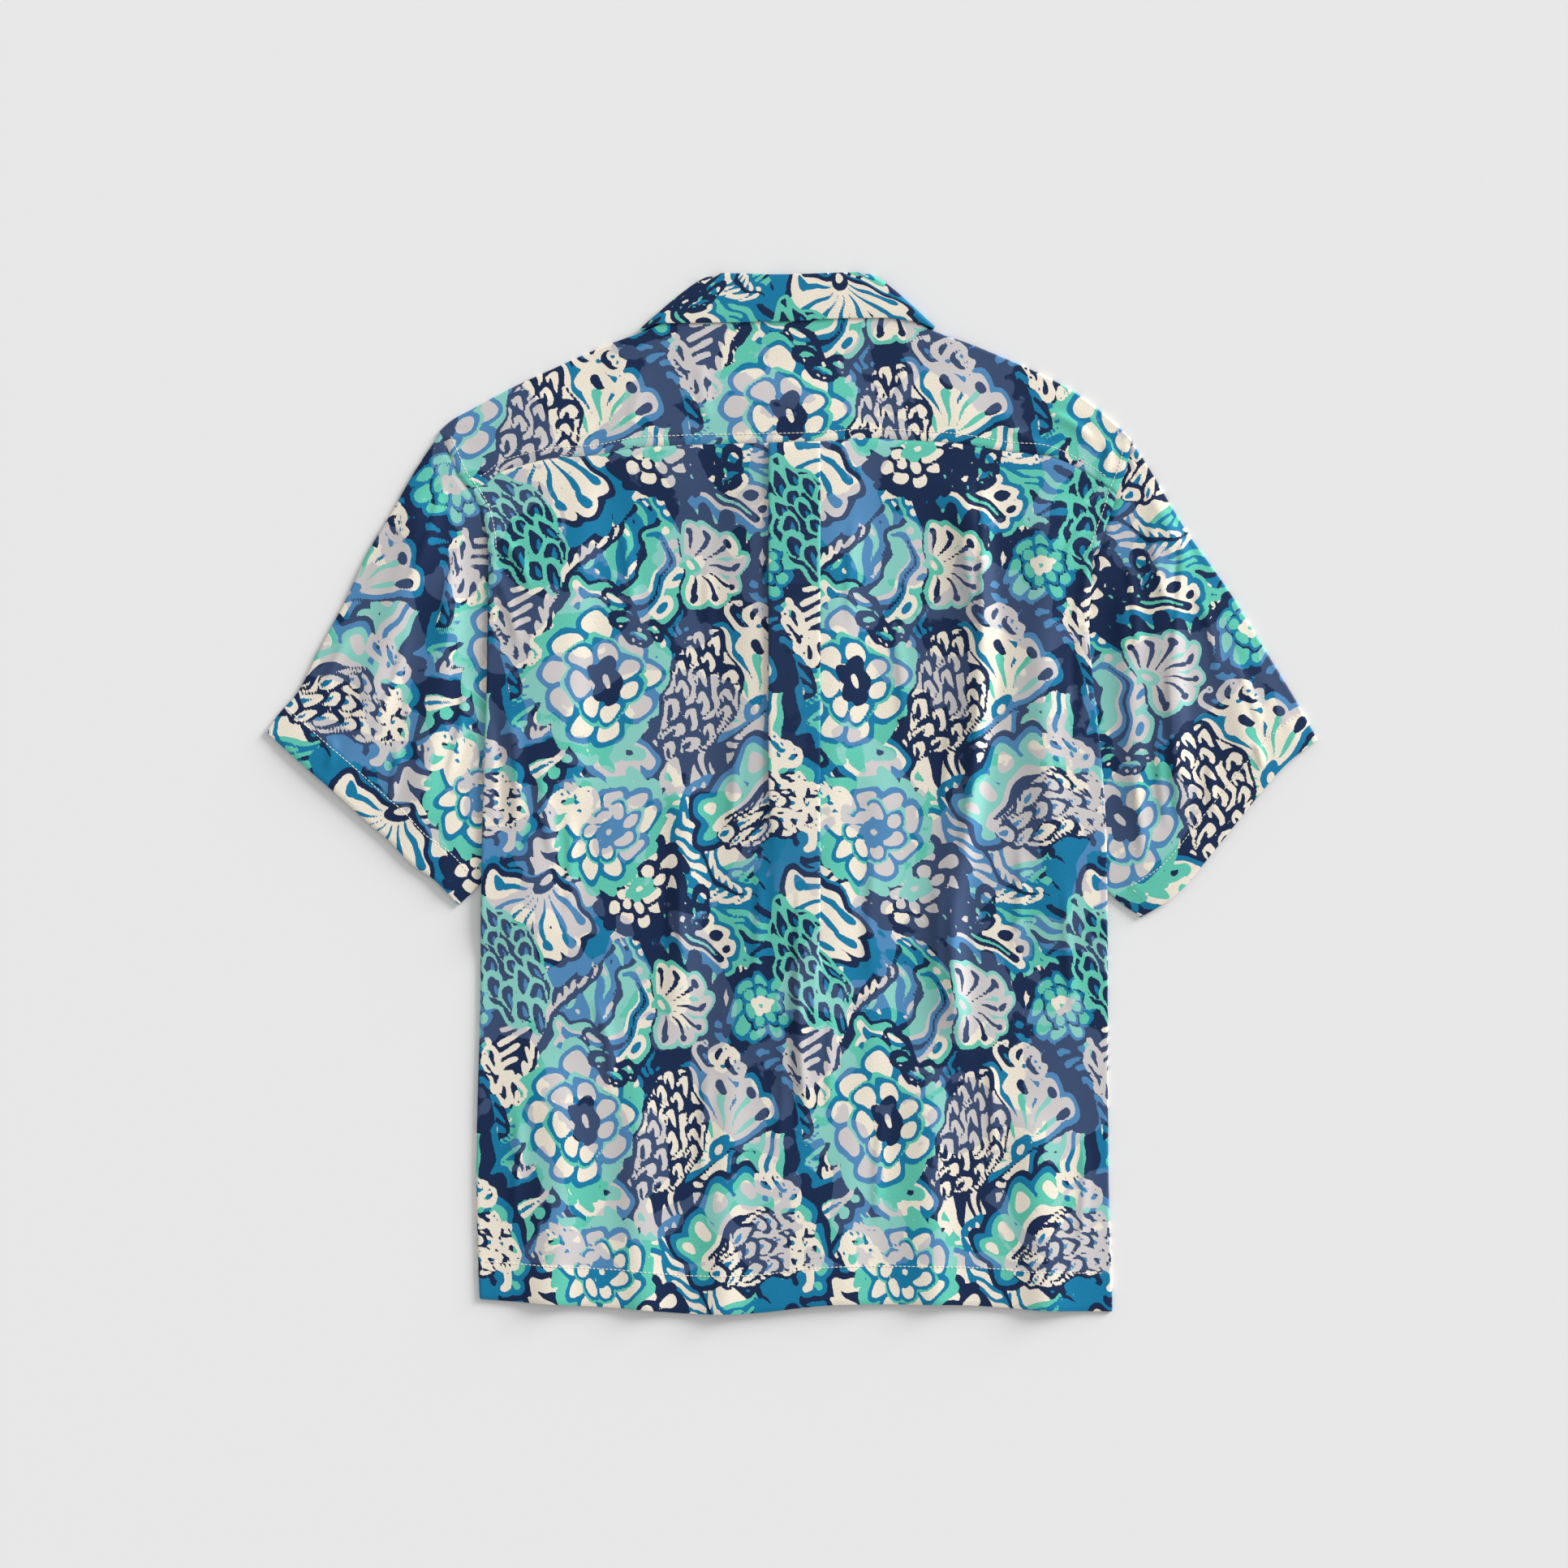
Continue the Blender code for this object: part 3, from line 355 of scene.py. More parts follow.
def make_print():
    p = Print()
    for n in range(1, GROUND_ROWS * GROUND_COLS + 1):
        row, col = divmod(n - 1, GROUND_COLS)
        x = TILE[0] / GROUND_COLS * col + 33 * (row % 2) + 8 * math.sin(n * 1.7)
        y = TILE[1] / GROUND_ROWS * row + 8 * math.cos(n * 2.9)
        size = 98 + 14 * math.sin(n * 0.9)
        inks = GROUND[(n * 3 + row) % len(GROUND)].split()
        tuft(p, x, y, size / 100, (n * ROUND_TURN) % 360, 1 if n % 2 else -1, inks)
    for m in LARGE:
        MOTIFS[m.kind](p, m.across, m.down, m.size / 100, m.turn, m.hand, m.inks.split())
    return p


def read_print(flat):
    """The four inks' fields at places on the flat cloth, between -1 and 1."""
    u, v = flat[:, 0], flat[:, 1]
    along, down = math.tau * u / TILE[0], math.tau * v / TILE[1]
    u = u + 4.2 * np.sin(3 * down + 1.2 * np.sin(2 * along)) + 1.6 * np.sin(11 * down + 4 * along) - 0.5
    v = v + 4.6 * np.sin(3 * along + 1.4 * np.sin(2 * down) + 1) + 1.6 * np.sin(10 * along - 5 * down) - 0.5
    i, j = np.floor(u).astype(int), np.floor(v).astype(int)
    fu, fv = u - i, v - j
    fields = []
    for ink in INKS:
        field = PRINT.fields[ink]
        fields.append(sum(weight * field[(i + di) % TILE[0], (j + dj) % TILE[1]]
                          for di, dj, weight in ((0, 0, (1 - fu) * (1 - fv)), (1, 0, fu * (1 - fv)),
                                                 (0, 1, (1 - fu) * fv), (1, 1, fu * fv))))
    return np.stack(fields, -1) / REACH


PRINT = make_print()


class Tree:
    """Short calls that add and link the nodes of a material or a node group."""

    def __init__(self, tree):
        self.tree = tree

    def node(self, kind, links=None, **values):
        made = self.tree.nodes.new(kind)
        for name, value in values.items():
            setattr(made, name, value)
        for name, source in (links or {}).items():
            target = made.inputs[name]
            if isinstance(source, bpy.types.NodeSocket):
                self.tree.links.new(source, target)
            else:
                target.default_value = source
        return made

    def maths(self, operation, *sources):
        return self.node("ShaderNodeMath", dict(enumerate(sources)), operation=operation).outputs[0]

    def mix(self, share, first, second, blend="MIX"):
        made = self.node("ShaderNodeMix", {0: share, 6: first, 7: second}, data_type="RGBA", blend_type=blend)
        return made.outputs[2]

    def soft(self, value, start, end, low=0.0, high=1.0):
        links = {"Value": value, "From Min": start, "From Max": end, "To Min": low, "To Max": high}
        return self.node("ShaderNodeMapRange", links, interpolation_type="SMOOTHSTEP").outputs[0]

    def noise(self, place, scale, detail=2.0, roughness=0.5, distortion=0.0):
        return self.node("ShaderNodeTexNoise", {"Vector": place, "Scale": scale, "Detail": detail,
                                                "Roughness": roughness, "Distortion": distortion})


# Each ink's colour where the cloth is opaque and where it is sheer
OPAQUE = {"navy": (0.002, 0.016, 0.066), "teal": (0.001, 0.180, 0.350),
          "mint": (0.110, 0.540, 0.410), "cream": (0.83, 0.76, 0.64)}
SHEER = {"navy": (0.036, 0.066, 0.150), "teal": (0.075, 0.235, 0.460),
         "mint": (0.240, 0.590, 0.520), "cream": (0.600, 0.570, 0.565)}


def ink_group():
    """Node group: the print's colour and how sheer the cloth is, from its flat place."""
    group = bpy.data.node_groups.new("printed_inks", "ShaderNodeTree")
    for name, kind in (("Colour", "Color"), ("Sheer", "Float"), ("Grain", "Float")):
        group.interface.new_socket(name=name, in_out="OUTPUT", socket_type=f"NodeSocket{kind}")
    t = Tree(group)
    place = t.node("ShaderNodeAttribute", attribute_name="cloth_place").outputs["Vector"]
    inks = t.node("ShaderNodeAttribute", attribute_name="inks")
    split = t.node("ShaderNodeSeparateColor", {0: inks.outputs["Color"]})
    ragged = t.node("ShaderNodeSeparateColor", {0: t.noise(place, 0.42, 3.0, 0.6).outputs["Color"]})
    fields = [t.maths("ADD", split.outputs[k], t.maths("MULTIPLY_ADD", ragged.outputs[k], 0.42, -0.21))
              for k in range(3)] + [inks.outputs["Alpha"]]
    colours, highest = [(*palette[INKS[0]], 1) for palette in (OPAQUE, SHEER)], fields[0]
    for ink, field in zip(INKS[1:], fields[1:]):
        shows = t.maths("GREATER_THAN", field, highest)
        colours = [t.mix(shows, under, (*palette[ink], 1))
                   for under, palette in zip(colours, (OPAQUE, SHEER))]
        highest = t.maths("MAXIMUM", field, highest)
    patches = t.noise(place, 0.016, 2.0, 0.5, 0.8).outputs["Fac"]
    edge = t.maths("MULTIPLY_ADD", t.noise(place, 0.12, 2.0).outputs["Fac"], 0.10, -0.05)
    sheer = t.soft(t.maths("ADD", patches, edge), 0.500, 0.514)
    plies = t.node("ShaderNodeAttribute", attribute_name="plies").outputs["Fac"]
    sheer = t.maths("MULTIPLY", sheer, t.maths("SUBTRACT", 1.0, plies))
    grain = t.noise(place, 0.9, 3.0, 0.65).outputs["Fac"]
    opaque = t.maths("SUBTRACT", 1.0, sheer)
    uneven = t.maths("SUBTRACT", t.soft(grain, 0.3, 0.7, 0.90, 1.10), 1.0)
    felt = t.maths("ADD", 1.0, t.maths("MULTIPLY", uneven, opaque))
    shade = t.node("ShaderNodeCombineColor", {0: felt, 1: felt, 2: felt}).outputs[0]
    colour = t.mix(1.0, t.mix(sheer, colours[0], colours[1]), shade, "MULTIPLY")
    out = t.node("NodeGroupOutput")
    for name, source in (("Colour", colour), ("Sheer", sheer), ("Grain", grain)):
        group.links.new(source, out.inputs[name])
    return group


def printed_cloth():
    material = bpy.data.materials.new("printed_cloth")
    material.use_nodes = True
    t = Tree(material.node_tree)
    shader = material.node_tree.nodes["Principled BSDF"]
    inks = t.node("ShaderNodeGroup", node_tree=ink_group())
    material.node_tree.links.new(inks.outputs["Colour"], shader.inputs["Base Color"])
    rough = t.maths("MULTIPLY_ADD", inks.outputs["Sheer"], -0.12, 0.68)
    material.node_tree.links.new(rough, shader.inputs["Roughness"])
    bump = t.node("ShaderNodeBump", {"Height": inks.outputs["Grain"], "Strength": 0.25, "Distance": 0.0004})
    material.node_tree.links.new(bump.outputs[0], shader.inputs["Normal"])
    shader.inputs["Specular IOR Level"].default_value = 0.22
    shader.inputs["Sheen Weight"].default_value = 0.05
    shader.inputs["Sheen Roughness"].default_value = 0.45
    return material


PRINTED_CLOTH = printed_cloth()


# ---------------------------------------------------------------------------------------------------
# The back: one panel of light cotton and silk, sewn to the yoke, with a box pleat in its middle, soft
# folds where it lies uneven, and both sides carried round and under to the side seams. Its hem is
# turned up and held by a row of cream stitches. All sizes are in millimetres.

Side = namedtuple("Side", "y left right")
Point = namedtuple("Point", "x y")
Crease = namedtuple("Crease", "path height left_width right_width fade")

# In the frame a cut piece is a wall, and the sheet that is seen lies just inside the wall's face
CLOTH, SURFACE = 1.0, 0.45
LOFT, LAYER, FULLNESS = 1.8, 1.5, 1.3       # back over front, one ply over another, and air in the back
SLEEVE_ROOM, COLLAR_ROOM, BUTTON_ROOM = 3.2, 1.3, 2.6       # how far what lies below lifts the fronts
LAP, SIDE_TURN = 15.0, 11.0                 # the fronts' lap past the middle, and the back's turn under
PLEAT_CENTRE, PLEAT_HALF = 2.0, 19.0
BUTTON_RADIUS, BUTTON_TOP, BUTTON_STEP, BUTTON_COUNT = 5.75, 232.0, 98.0, 5
FLOOR_LAYER, TURN_RADIUS = CLOTH / 2, LOFT / 2
ARMHOLE_TOP = 172
FINE = 2.0                                  # spacing of the points in cloth that the print is read at
HEM_STITCH, ARMHOLE_STITCH, YOKE_STITCH, SLEEVE_STITCH = 28.5, 6.0, 7.0, 24.0       # from each edge
SIGN = {"left": -1, "right": 1}

SIDES = listed(
    Side,
    (172, -227.5, 225.5), (118, -228.5, 223.5), (80, -229, 226.6), (40, -230.5, 231),
    (-28, -232.3, 236), (-87, -233.3, 237), (-177, -234.4, 237.6), (-245, -236.4, 237.8),
    (-298, -237, 238.2), (-340, -236, 239.6), (-392, -233.8, 241))

# Armhole seam, from the shoulder's edge to the armpit
ARMHOLE = {
    "left": listed(
        Point,
        (-263.8, 270.3), (-257.7, 257), (-254, 248), (-249, 237), (-243, 229), (-234, 215),
        (-230.8, 205), (-228.6, 194), (-227.5, 172), (-222, 120), (-214, 70), (-205, 20)),
    "right": listed(
        Point,
        (254.9, 264), (254, 255), (252.5, 247), (248.5, 236), (244, 225), (240.8, 214), (237.5, 205),
        (233.5, 194), (225.5, 172), (215, 120), (212, 70), (208, 20)),
}
FRONT_SEAM_AT, YOKE_SEAM_AT, TUCK_AT = 2, 4, 8     # stations of the armhole where other seams meet it

YOKE_SEAM = listed(
    Point,
    (-244, 229.5), (-231, 232), (-220, 241), (-208, 245.2), (-186, 250.7), (-144, 254.4), (-119, 259.3),
    (-88, 261), (-20, 262.3), (27, 263.8), (52, 266), (83, 265), (125, 262.3), (163, 256.2),
    (196, 252.5), (217, 242.8), (236, 230.6), (244.5, 224.5))

HEM = listed(
    Point,
    (-234, -380), (-179, -383.7), (-131, -386.4), (-68, -391), (-31, -390.4), (24, -384.6),
    (80, -383.7), (135, -384.6), (190, -388.3), (241, -389.2))

# Soft folds: path as (y, x) down the fold, then its height and its two flanks
BACK_CREASES = listed(
    Crease,
    ([(242, 130), (170, 138.8), (123, 142.4), (45, 138.8), (-26, 130.8), (-87, 121), (-151, 122.3),
      (-215, 126)], 6, 15, 8, 70),
    ([(245, 205), (170, 196), (60, 190), (-60, 193)], 2.6, 14, 12, 70),
    ([(252, -150), (180, -158), (60, -166), (-40, -160)], 2.6, 18, 13, 80),
    ([(20, -84), (-60, -82), (-122, -84), (-200, -92)], 2.8, 10, 14, 60),
    ([(40, 60), (-60, 66), (-170, 62), (-260, 58)], 2.4, 14, 16, 80),
    ([(-190, -180), (-280, -176), (-392, -182)], 3, 17, 15, 90),
    ([(-200, -112), (-300, -118), (-392, -112)], 2.4, 13, 16, 90),
    ([(-170, -40), (-280, -46), (-392, -50)], 3.4, 18, 15, 90),
    ([(-230, 30), (-310, 26), (-392, 30)], 2.6, 15, 17, 80),
    ([(-190, 100), (-300, 104), (-392, 108)], 3, 17, 14, 90),
    ([(-220, 178), (-310, 184), (-392, 190)], 3.2, 15, 17, 80))


def follow(knots, values, at):
    """A smooth curve through values at knots, read at the given places."""
    knots, values, at = np.asarray(knots, float), np.asarray(values, float), np.asarray(at, float)
    if knots[0] > knots[-1]:
        knots, values = knots[::-1], values[::-1]
    slope = np.gradient(values, knots)
    i = np.clip(np.searchsorted(knots, at) - 1, 0, len(knots) - 2)
    step = knots[i + 1] - knots[i]
    t = np.clip((at - knots[i]) / step, 0, 1)
    rise_in, rise_out = t * (1 - t) ** 2 * step * slope[i], t * t * (t - 1) * step * slope[i + 1]
    return (1 + 2 * t) * (1 - t) ** 2 * values[i] + t * t * (3 - 2 * t) * values[i + 1] + rise_in + rise_out


def column(table, name):
    return np.array([getattr(row, name) for row in table], float)


def height_along(table, x):
    return follow(column(table, "x"), column(table, "y"), x)


def side_at(table, y, side):
    return follow(column(table, "y"), column(table, side), y)


def rise(value, start, end):
    """0 before start, 1 after end, soft between."""
    t = np.clip((np.asarray(value, float) - start) / (end - start), 0, 1)
    return t * t * (3 - 2 * t)


def fall(value, start, end):
    """1 before start, 0 after end, soft between."""
    return 1 - rise(value, start, end)


def spread(length, step=FINE):
    """How many points a stretch of cloth takes."""
    return max(2, int(round(length / step)) + 1)


def body_edge(side, y, inset):
    """x of the body's edge: along the armhole above, and inset from the turned side below."""
    on_hole = follow(column(ARMHOLE[side], "y"), column(ARMHOLE[side], "x"), y)
    on_side = side_at(SIDES, min(y, ARMHOLE_TOP), side) - SIGN[side] * inset
    return on_side + (on_hole - on_side) * rise(y, ARMHOLE_TOP - 1, ARMHOLE_TOP + 14)


def inward(x, y):
    """How far a point lies inside the body's edges."""
    return np.minimum(x - side_at(SIDES, y, "left"), side_at(SIDES, y, "right") - x)


def low_z(x, y):
    """Middle of the fronts' cloth."""
    on_sleeve = fall(inward(x, y), 34, 80) * fall(y, 178, 228) * rise(y, -132, -90)
    on_collar = rise(y, 200, 235) * fall(np.abs(x), 118, 150)
    last = BUTTON_TOP - BUTTON_STEP * (BUTTON_COUNT - 1)
    on_buttons = fall(np.abs(x), BUTTON_RADIUS + 2.5, BUTTON_RADIUS + 34) \
        * fall(y, BUTTON_TOP + 14, BUTTON_TOP + 60) * rise(y, last - 75, last - 12)
    middle = np.maximum(COLLAR_ROOM * on_collar, BUTTON_ROOM * on_buttons)
    return FLOOR_LAYER + SLEEVE_ROOM * on_sleeve + middle


def creases(table, x, y):
    total = np.zeros(np.shape(x))
    for crease in table:
        down, across = np.array(crease.path, float).T
        off = x - follow(down, across, y)
        width = np.where(off < 0, crease.left_width, crease.right_width)
        into_hem = down[-1] < HEM[0].y
        ends = 1.0 if into_hem else rise(y, down[-1], down[-1] + crease.fade)
        ends = ends * fall(y, down[0] - crease.fade * 0.6, down[0])
        total = total + crease.height * np.exp(-(off / width) ** 2) * ends
    return total


def top_z(x, y):
    """Middle of the back's and the yoke's cloth, without the pleat."""
    inside = rise(inward(x, np.minimum(y, ARMHOLE_TOP)), 4, 45) * fall(y, 270, 325)
    lap = rise(x, -LAP - 55, -LAP - 4) * fall(x, LAP + 2, LAP + 60) * fall(y, 292, 325)
    return low_z(x, y) + LOFT + LAYER * lap + inside * (FULLNESS + creases(BACK_CREASES, x, y))


# Fine creases and puckers: a bowed line from one point to another, how high it stands (below 0, how
# deep it lies), and how wide its two flanks are
Line = namedtuple("Line", "x0 y0 x1 y1 bow height near far")
CRISP = 1.8             # how far the fine creases stand, over what their tables say


def fine_creases(table, x, y):
    total = np.zeros(np.shape(x))
    for line in table:
        start, way = np.array([line.x0, line.y0]), np.array([line.x1 - line.x0, line.y1 - line.y0], float)
        length = np.hypot(*way)
        way /= length
        along = ((x - start[0]) * way[0] + (y - start[1]) * way[1]) / length
        off = (x - start[0]) * -way[1] + (y - start[1]) * way[0] - line.bow * 4 * along * (1 - along)
        width = np.where(off < 0, line.near, line.far)
        ends = rise(along, 0, 0.3) * fall(along, 0.7, 1)
        total = total + line.height * np.exp(-(off / width) ** 2) * ends
    return total


BACK_LINES = listed(
    Line,
    # the sharp edges of the big fold
    (142, 246, 140, 96, 2, 1.8, 2.4, 8), (139, 110, 122, -60, 5, 1.2, 2.8, 8),
    (121, -70, 124, -190, -3, 0.8, 3, 7),
    # beside the big fold, and where the body is pinched by the armhole's seam
    (128, 200, 141, 128, -3, 0.9, 2.6, 4), (150, 150, 146, 60, 3, 0.7, 3, 5),
    (118, 60, 112, -20, 2, 0.8, 3.5, 4.5), (136, 20, 124, -60, -3, -0.7, 4, 4),
    (108, -60, 106, -150, 2, 0.7, 3, 5), (228, 222, 196, 196, -3, 0.8, 2.5, 4),
    (226, 206, 203, 168, -4, 0.9, 2.5, 4.5), (222, 180, 208, 120, 3, 0.8, 3, 4),
    (212, 120, 214, 50, -2, -0.7, 4, 3.5),
    # the left half
    (-224, 72, -219, -42, 3, -1, 3.5, 6), (-214, 66, -208, -30, 4, 0.9, 3, 5),
    (-222, 196, -196, 150, 4, 0.9, 2.6, 4.2), (-226, 172, -204, 104, 3, 0.7, 3, 4),
    (-84, -62, -82, -122, -2, 1, 2.2, 3.8), (-96, -50, -98, -128, 3, -0.6, 4, 4),
    (-186, 30, -176, -60, -4, 0.7, 3.5, 5), (-168, -8, -170, -98, 3, 0.6, 3, 5),
    (-130, 210, -122, 120, 4, 0.6, 3.5, 5), (-62, 180, -58, 96, -3, 0.5, 3, 5),
    (-44, 60, -48, -40, 3, 0.6, 3, 4), (-150, -150, -136, -230, 5, 0.7, 3.2, 4.6),
    (-60, -200, -66, -300, -4, 0.7, 3.5, 5), (-206, -230, -212, -330, 3, 0.7, 3, 5),
    # the right half
    (48, 216, 44, 120, -3, 0.6, 3, 5), (76, 130, 82, 40, 3, 0.6, 3.4, 4.6),
    (64, -40, 58, -140, -3, 0.6, 3, 5), (170, -30, 164, -130, 4, 0.7, 3.2, 5),
    (206, -60, 212, -170, -3, 0.7, 3, 4.4), (146, -190, 150, -290, 3, 0.7, 3.2, 5),
    (70, -230, 64, -330, -3, 0.7, 3, 5), (218, -250, 214, -350, 3, 0.6, 3, 4),
    # below the pleat, where its folds open
    (6, -128, 12, -250, -3, 1, 2.4, 4.5), (-26, -40, -30, -150, 3, 0.7, 3.2, 5),
    (-8, -170, -14, -280, 4, 0.6, 3.2, 5), (32, -150, 30, -250, -3, 0.6, 3, 4.6))


# Low waves: radians a millimetre across and up, where each starts, and its height
WAVES = [(0.070, 0.017, 0.4, 0.20), (-0.105, 0.031, 2.1, 0.13), (0.043, -0.038, 4.0, 0.20),
         (0.170, 0.060, 1.1, 0.07), (-0.060, 0.110, 5.2, 0.06)]


def drape(x, y):
    """The small unevenness of light cloth that lies on cloth: low, mostly upright waves."""
    total = 0.0
    for wave_x, wave_y, start, height in WAVES:
        bend = 1.3 * np.sin(0.021 * x - 0.017 * y + start) + 0.8 * np.sin(0.043 * y + 2 * start)
        strength = 0.6 + 0.4 * np.sin(0.019 * y + 0.013 * x + 3 * start)
        total = total + height * strength * np.sin(wave_x * x + wave_y * y + bend + start)
    return total


def gathers(off, along, reach, height):
    """Short creases that run out from a seam whose cloth was eased in, about 12 mm apart."""
    wave = np.sin(along / 1.9 + 1.6 * np.sin(along / 11.0)) * (0.6 + 0.4 * np.sin(along / 23.0 + 2.0))
    return height * wave * np.exp(-(off / reach) ** 2)


def seam_relief(off, along, stitched):
    """Height of a turned edge: rounded at the edge, raised by the cloth under it, and drawn down and
    puckered where it is stitched. off is how far a point lies from the edge."""
    edge = -0.55 * np.exp(-(off / 0.9) ** 2)
    under = 0.20 * fall(off, stitched + 0.5, stitched + 3.0)
    dip = -0.24 * np.exp(-((off - stitched) / 1.0) ** 2)
    wave = np.sin(along / 2.3 + 2.2 * np.sin(along / 17.0)) * (0.55 + 0.45 * np.sin(along / 29.0 + 1.0))
    return edge + under + dip + 0.15 * wave * np.exp(-((off - stitched) / 4.5) ** 2)


def armhole_relief(beside, along, gathered):
    """A body piece's edge at the armhole, turned under, stitched and a little gathered."""
    return 1.5 * seam_relief(beside, along, ARMHOLE_STITCH) + gathers(beside, along, 11, gathered)


def half_turn(steps):
    """Angles round a turned edge, from its top to its underside."""
    return np.radians(np.linspace(90, -90, steps))


def along_row(knots, at):
    """Points of a row of knots, read by their share of its length."""
    knots = np.asarray(knots, float)
    length = lengths_along(knots)
    return np.stack([follow(length / length[-1], knots[:, k], at) for k in range(knots.shape[1])], -1)


def fixed_piece(name, mesh):
    piece = bpy.data.objects.new(name, mesh)
    bpy.context.scene.collection.objects.link(piece)
    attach(piece, "root")
    return piece


def lay_cloth(name, node, grid, flat, keep=None, plies=None):
    """A printed piece from rows of points, shown in place of its node; flat is each point's place on the
    uncut cloth, and plies is 1 where more cloth lies close under it, so that it isn't sheer there."""
    rows, cols = grid.shape[:2]
    index = np.arange(rows * cols).reshape(rows, cols)
    quads = np.stack([index[:-1, :-1], index[1:, :-1], index[1:, 1:], index[:-1, 1:]], -1)
    quads = quads[keep] if keep is not None else quads.reshape(-1, 4)
    used, quads = np.unique(quads, return_inverse=True)
    quads = quads.reshape(-1, 4)
    points, places = grid.reshape(-1, 3)[used], flat.reshape(-1, 2)[used]
    mesh = bpy.data.meshes.new(name)
    mesh.vertices.add(len(points))
    mesh.vertices.foreach_set("co", (points * MM).ravel())
    mesh.loops.add(quads.size)
    mesh.loops.foreach_set("vertex_index", quads.ravel())
    mesh.polygons.add(len(quads))
    mesh.polygons.foreach_set("loop_start", np.arange(0, quads.size, 4))
    mesh.polygons.foreach_set("loop_total", np.full(len(quads), 4))
    mesh.update(calc_edges=True)
    mesh.polygons.foreach_set("use_smooth", np.ones(len(quads), bool))
    low, high = places.min(0), places.max(0)
    share = (places - low) / (high - low)
    layer = mesh.uv_layers.new(name="OFBake")
    layer.data.foreach_set("uv", share[quads.ravel()].ravel())
    plies = np.zeros(grid.shape[:2]) if plies is None else plies
    for attribute, kind, key, values in (
            ("cloth_place", "FLOAT_VECTOR", "vector", np.c_[places, np.zeros(len(places))]),
            ("inks", "FLOAT_COLOR", "color", read_print(places)),
            ("plies", "FLOAT", "value", plies.ravel()[used])):
        mesh.attributes.new(attribute, kind, "POINT").data.foreach_set(key, values.ravel())
    mesh.materials.append(PRINTED_CLOTH)
    piece = fixed_piece(name, mesh)
    if node:
        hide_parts(node)
    return piece


def outer_side(grid):
    """Rows of points moved from the middle of the cloth's wall to its outer side."""
    normal = np.cross(np.gradient(grid, axis=0), np.gradient(grid, axis=1))
    normal /= np.maximum(np.linalg.norm(normal, axis=-1, keepdims=True), 1e-9)
    return grid + normal * SURFACE


PLEAT_INNER, PLEAT_OUT = 2.2, 5.0       # where its inner folds lie, and how far past it the back is flat


def pleat_half():
    """One half of the pleat: x from its middle out, height over the back, and flat width."""
    radius = LAYER / 2
    turn = -half_turn(7)
    outer, inner = PLEAT_HALF, PLEAT_INNER
    flat_run = np.linspace(0, outer - radius, 11)[:-1]
    back_run = np.linspace(outer - radius, inner + radius, 9)[1:-1]
    out_run = np.linspace(inner + radius, outer + PLEAT_OUT, 11)[1:]
    folded_x = np.r_[flat_run, outer - radius + radius * np.cos(turn), back_run,
                     inner + radius - radius * np.cos(turn), out_run]
    folded_z = radius * np.r_[np.full(len(flat_run), 4), 3 - np.sin(turn), np.full(len(back_run), 2),
                              1 - np.sin(turn), np.zeros(len(out_run))]
    flat = lengths_along(np.c_[folded_x, folded_z])
    return folded_x, folded_z, flat


def share_of_loose(x, y):
    """1 where the back lies loose, 0 on the pleat, whose layers keep together."""
    opened = rise(-y, -30, 60)
    return rise(np.abs(x - PLEAT_CENTRE), PLEAT_HALF + 4, PLEAT_HALF + 26) * (1 - opened) + opened


BODY_HALF, BACK_LONG = 237.0, 610.0     # half the body's width and the back's length, as cut
PLEAT_OPENS = {"left": 45, "right": 150}        # how far below the middle each side of the pleat is open
STRIP_TOP, UNDER_STEPS = ARMHOLE_TOP + 6, 5     # the top of the turned sides, and their points below


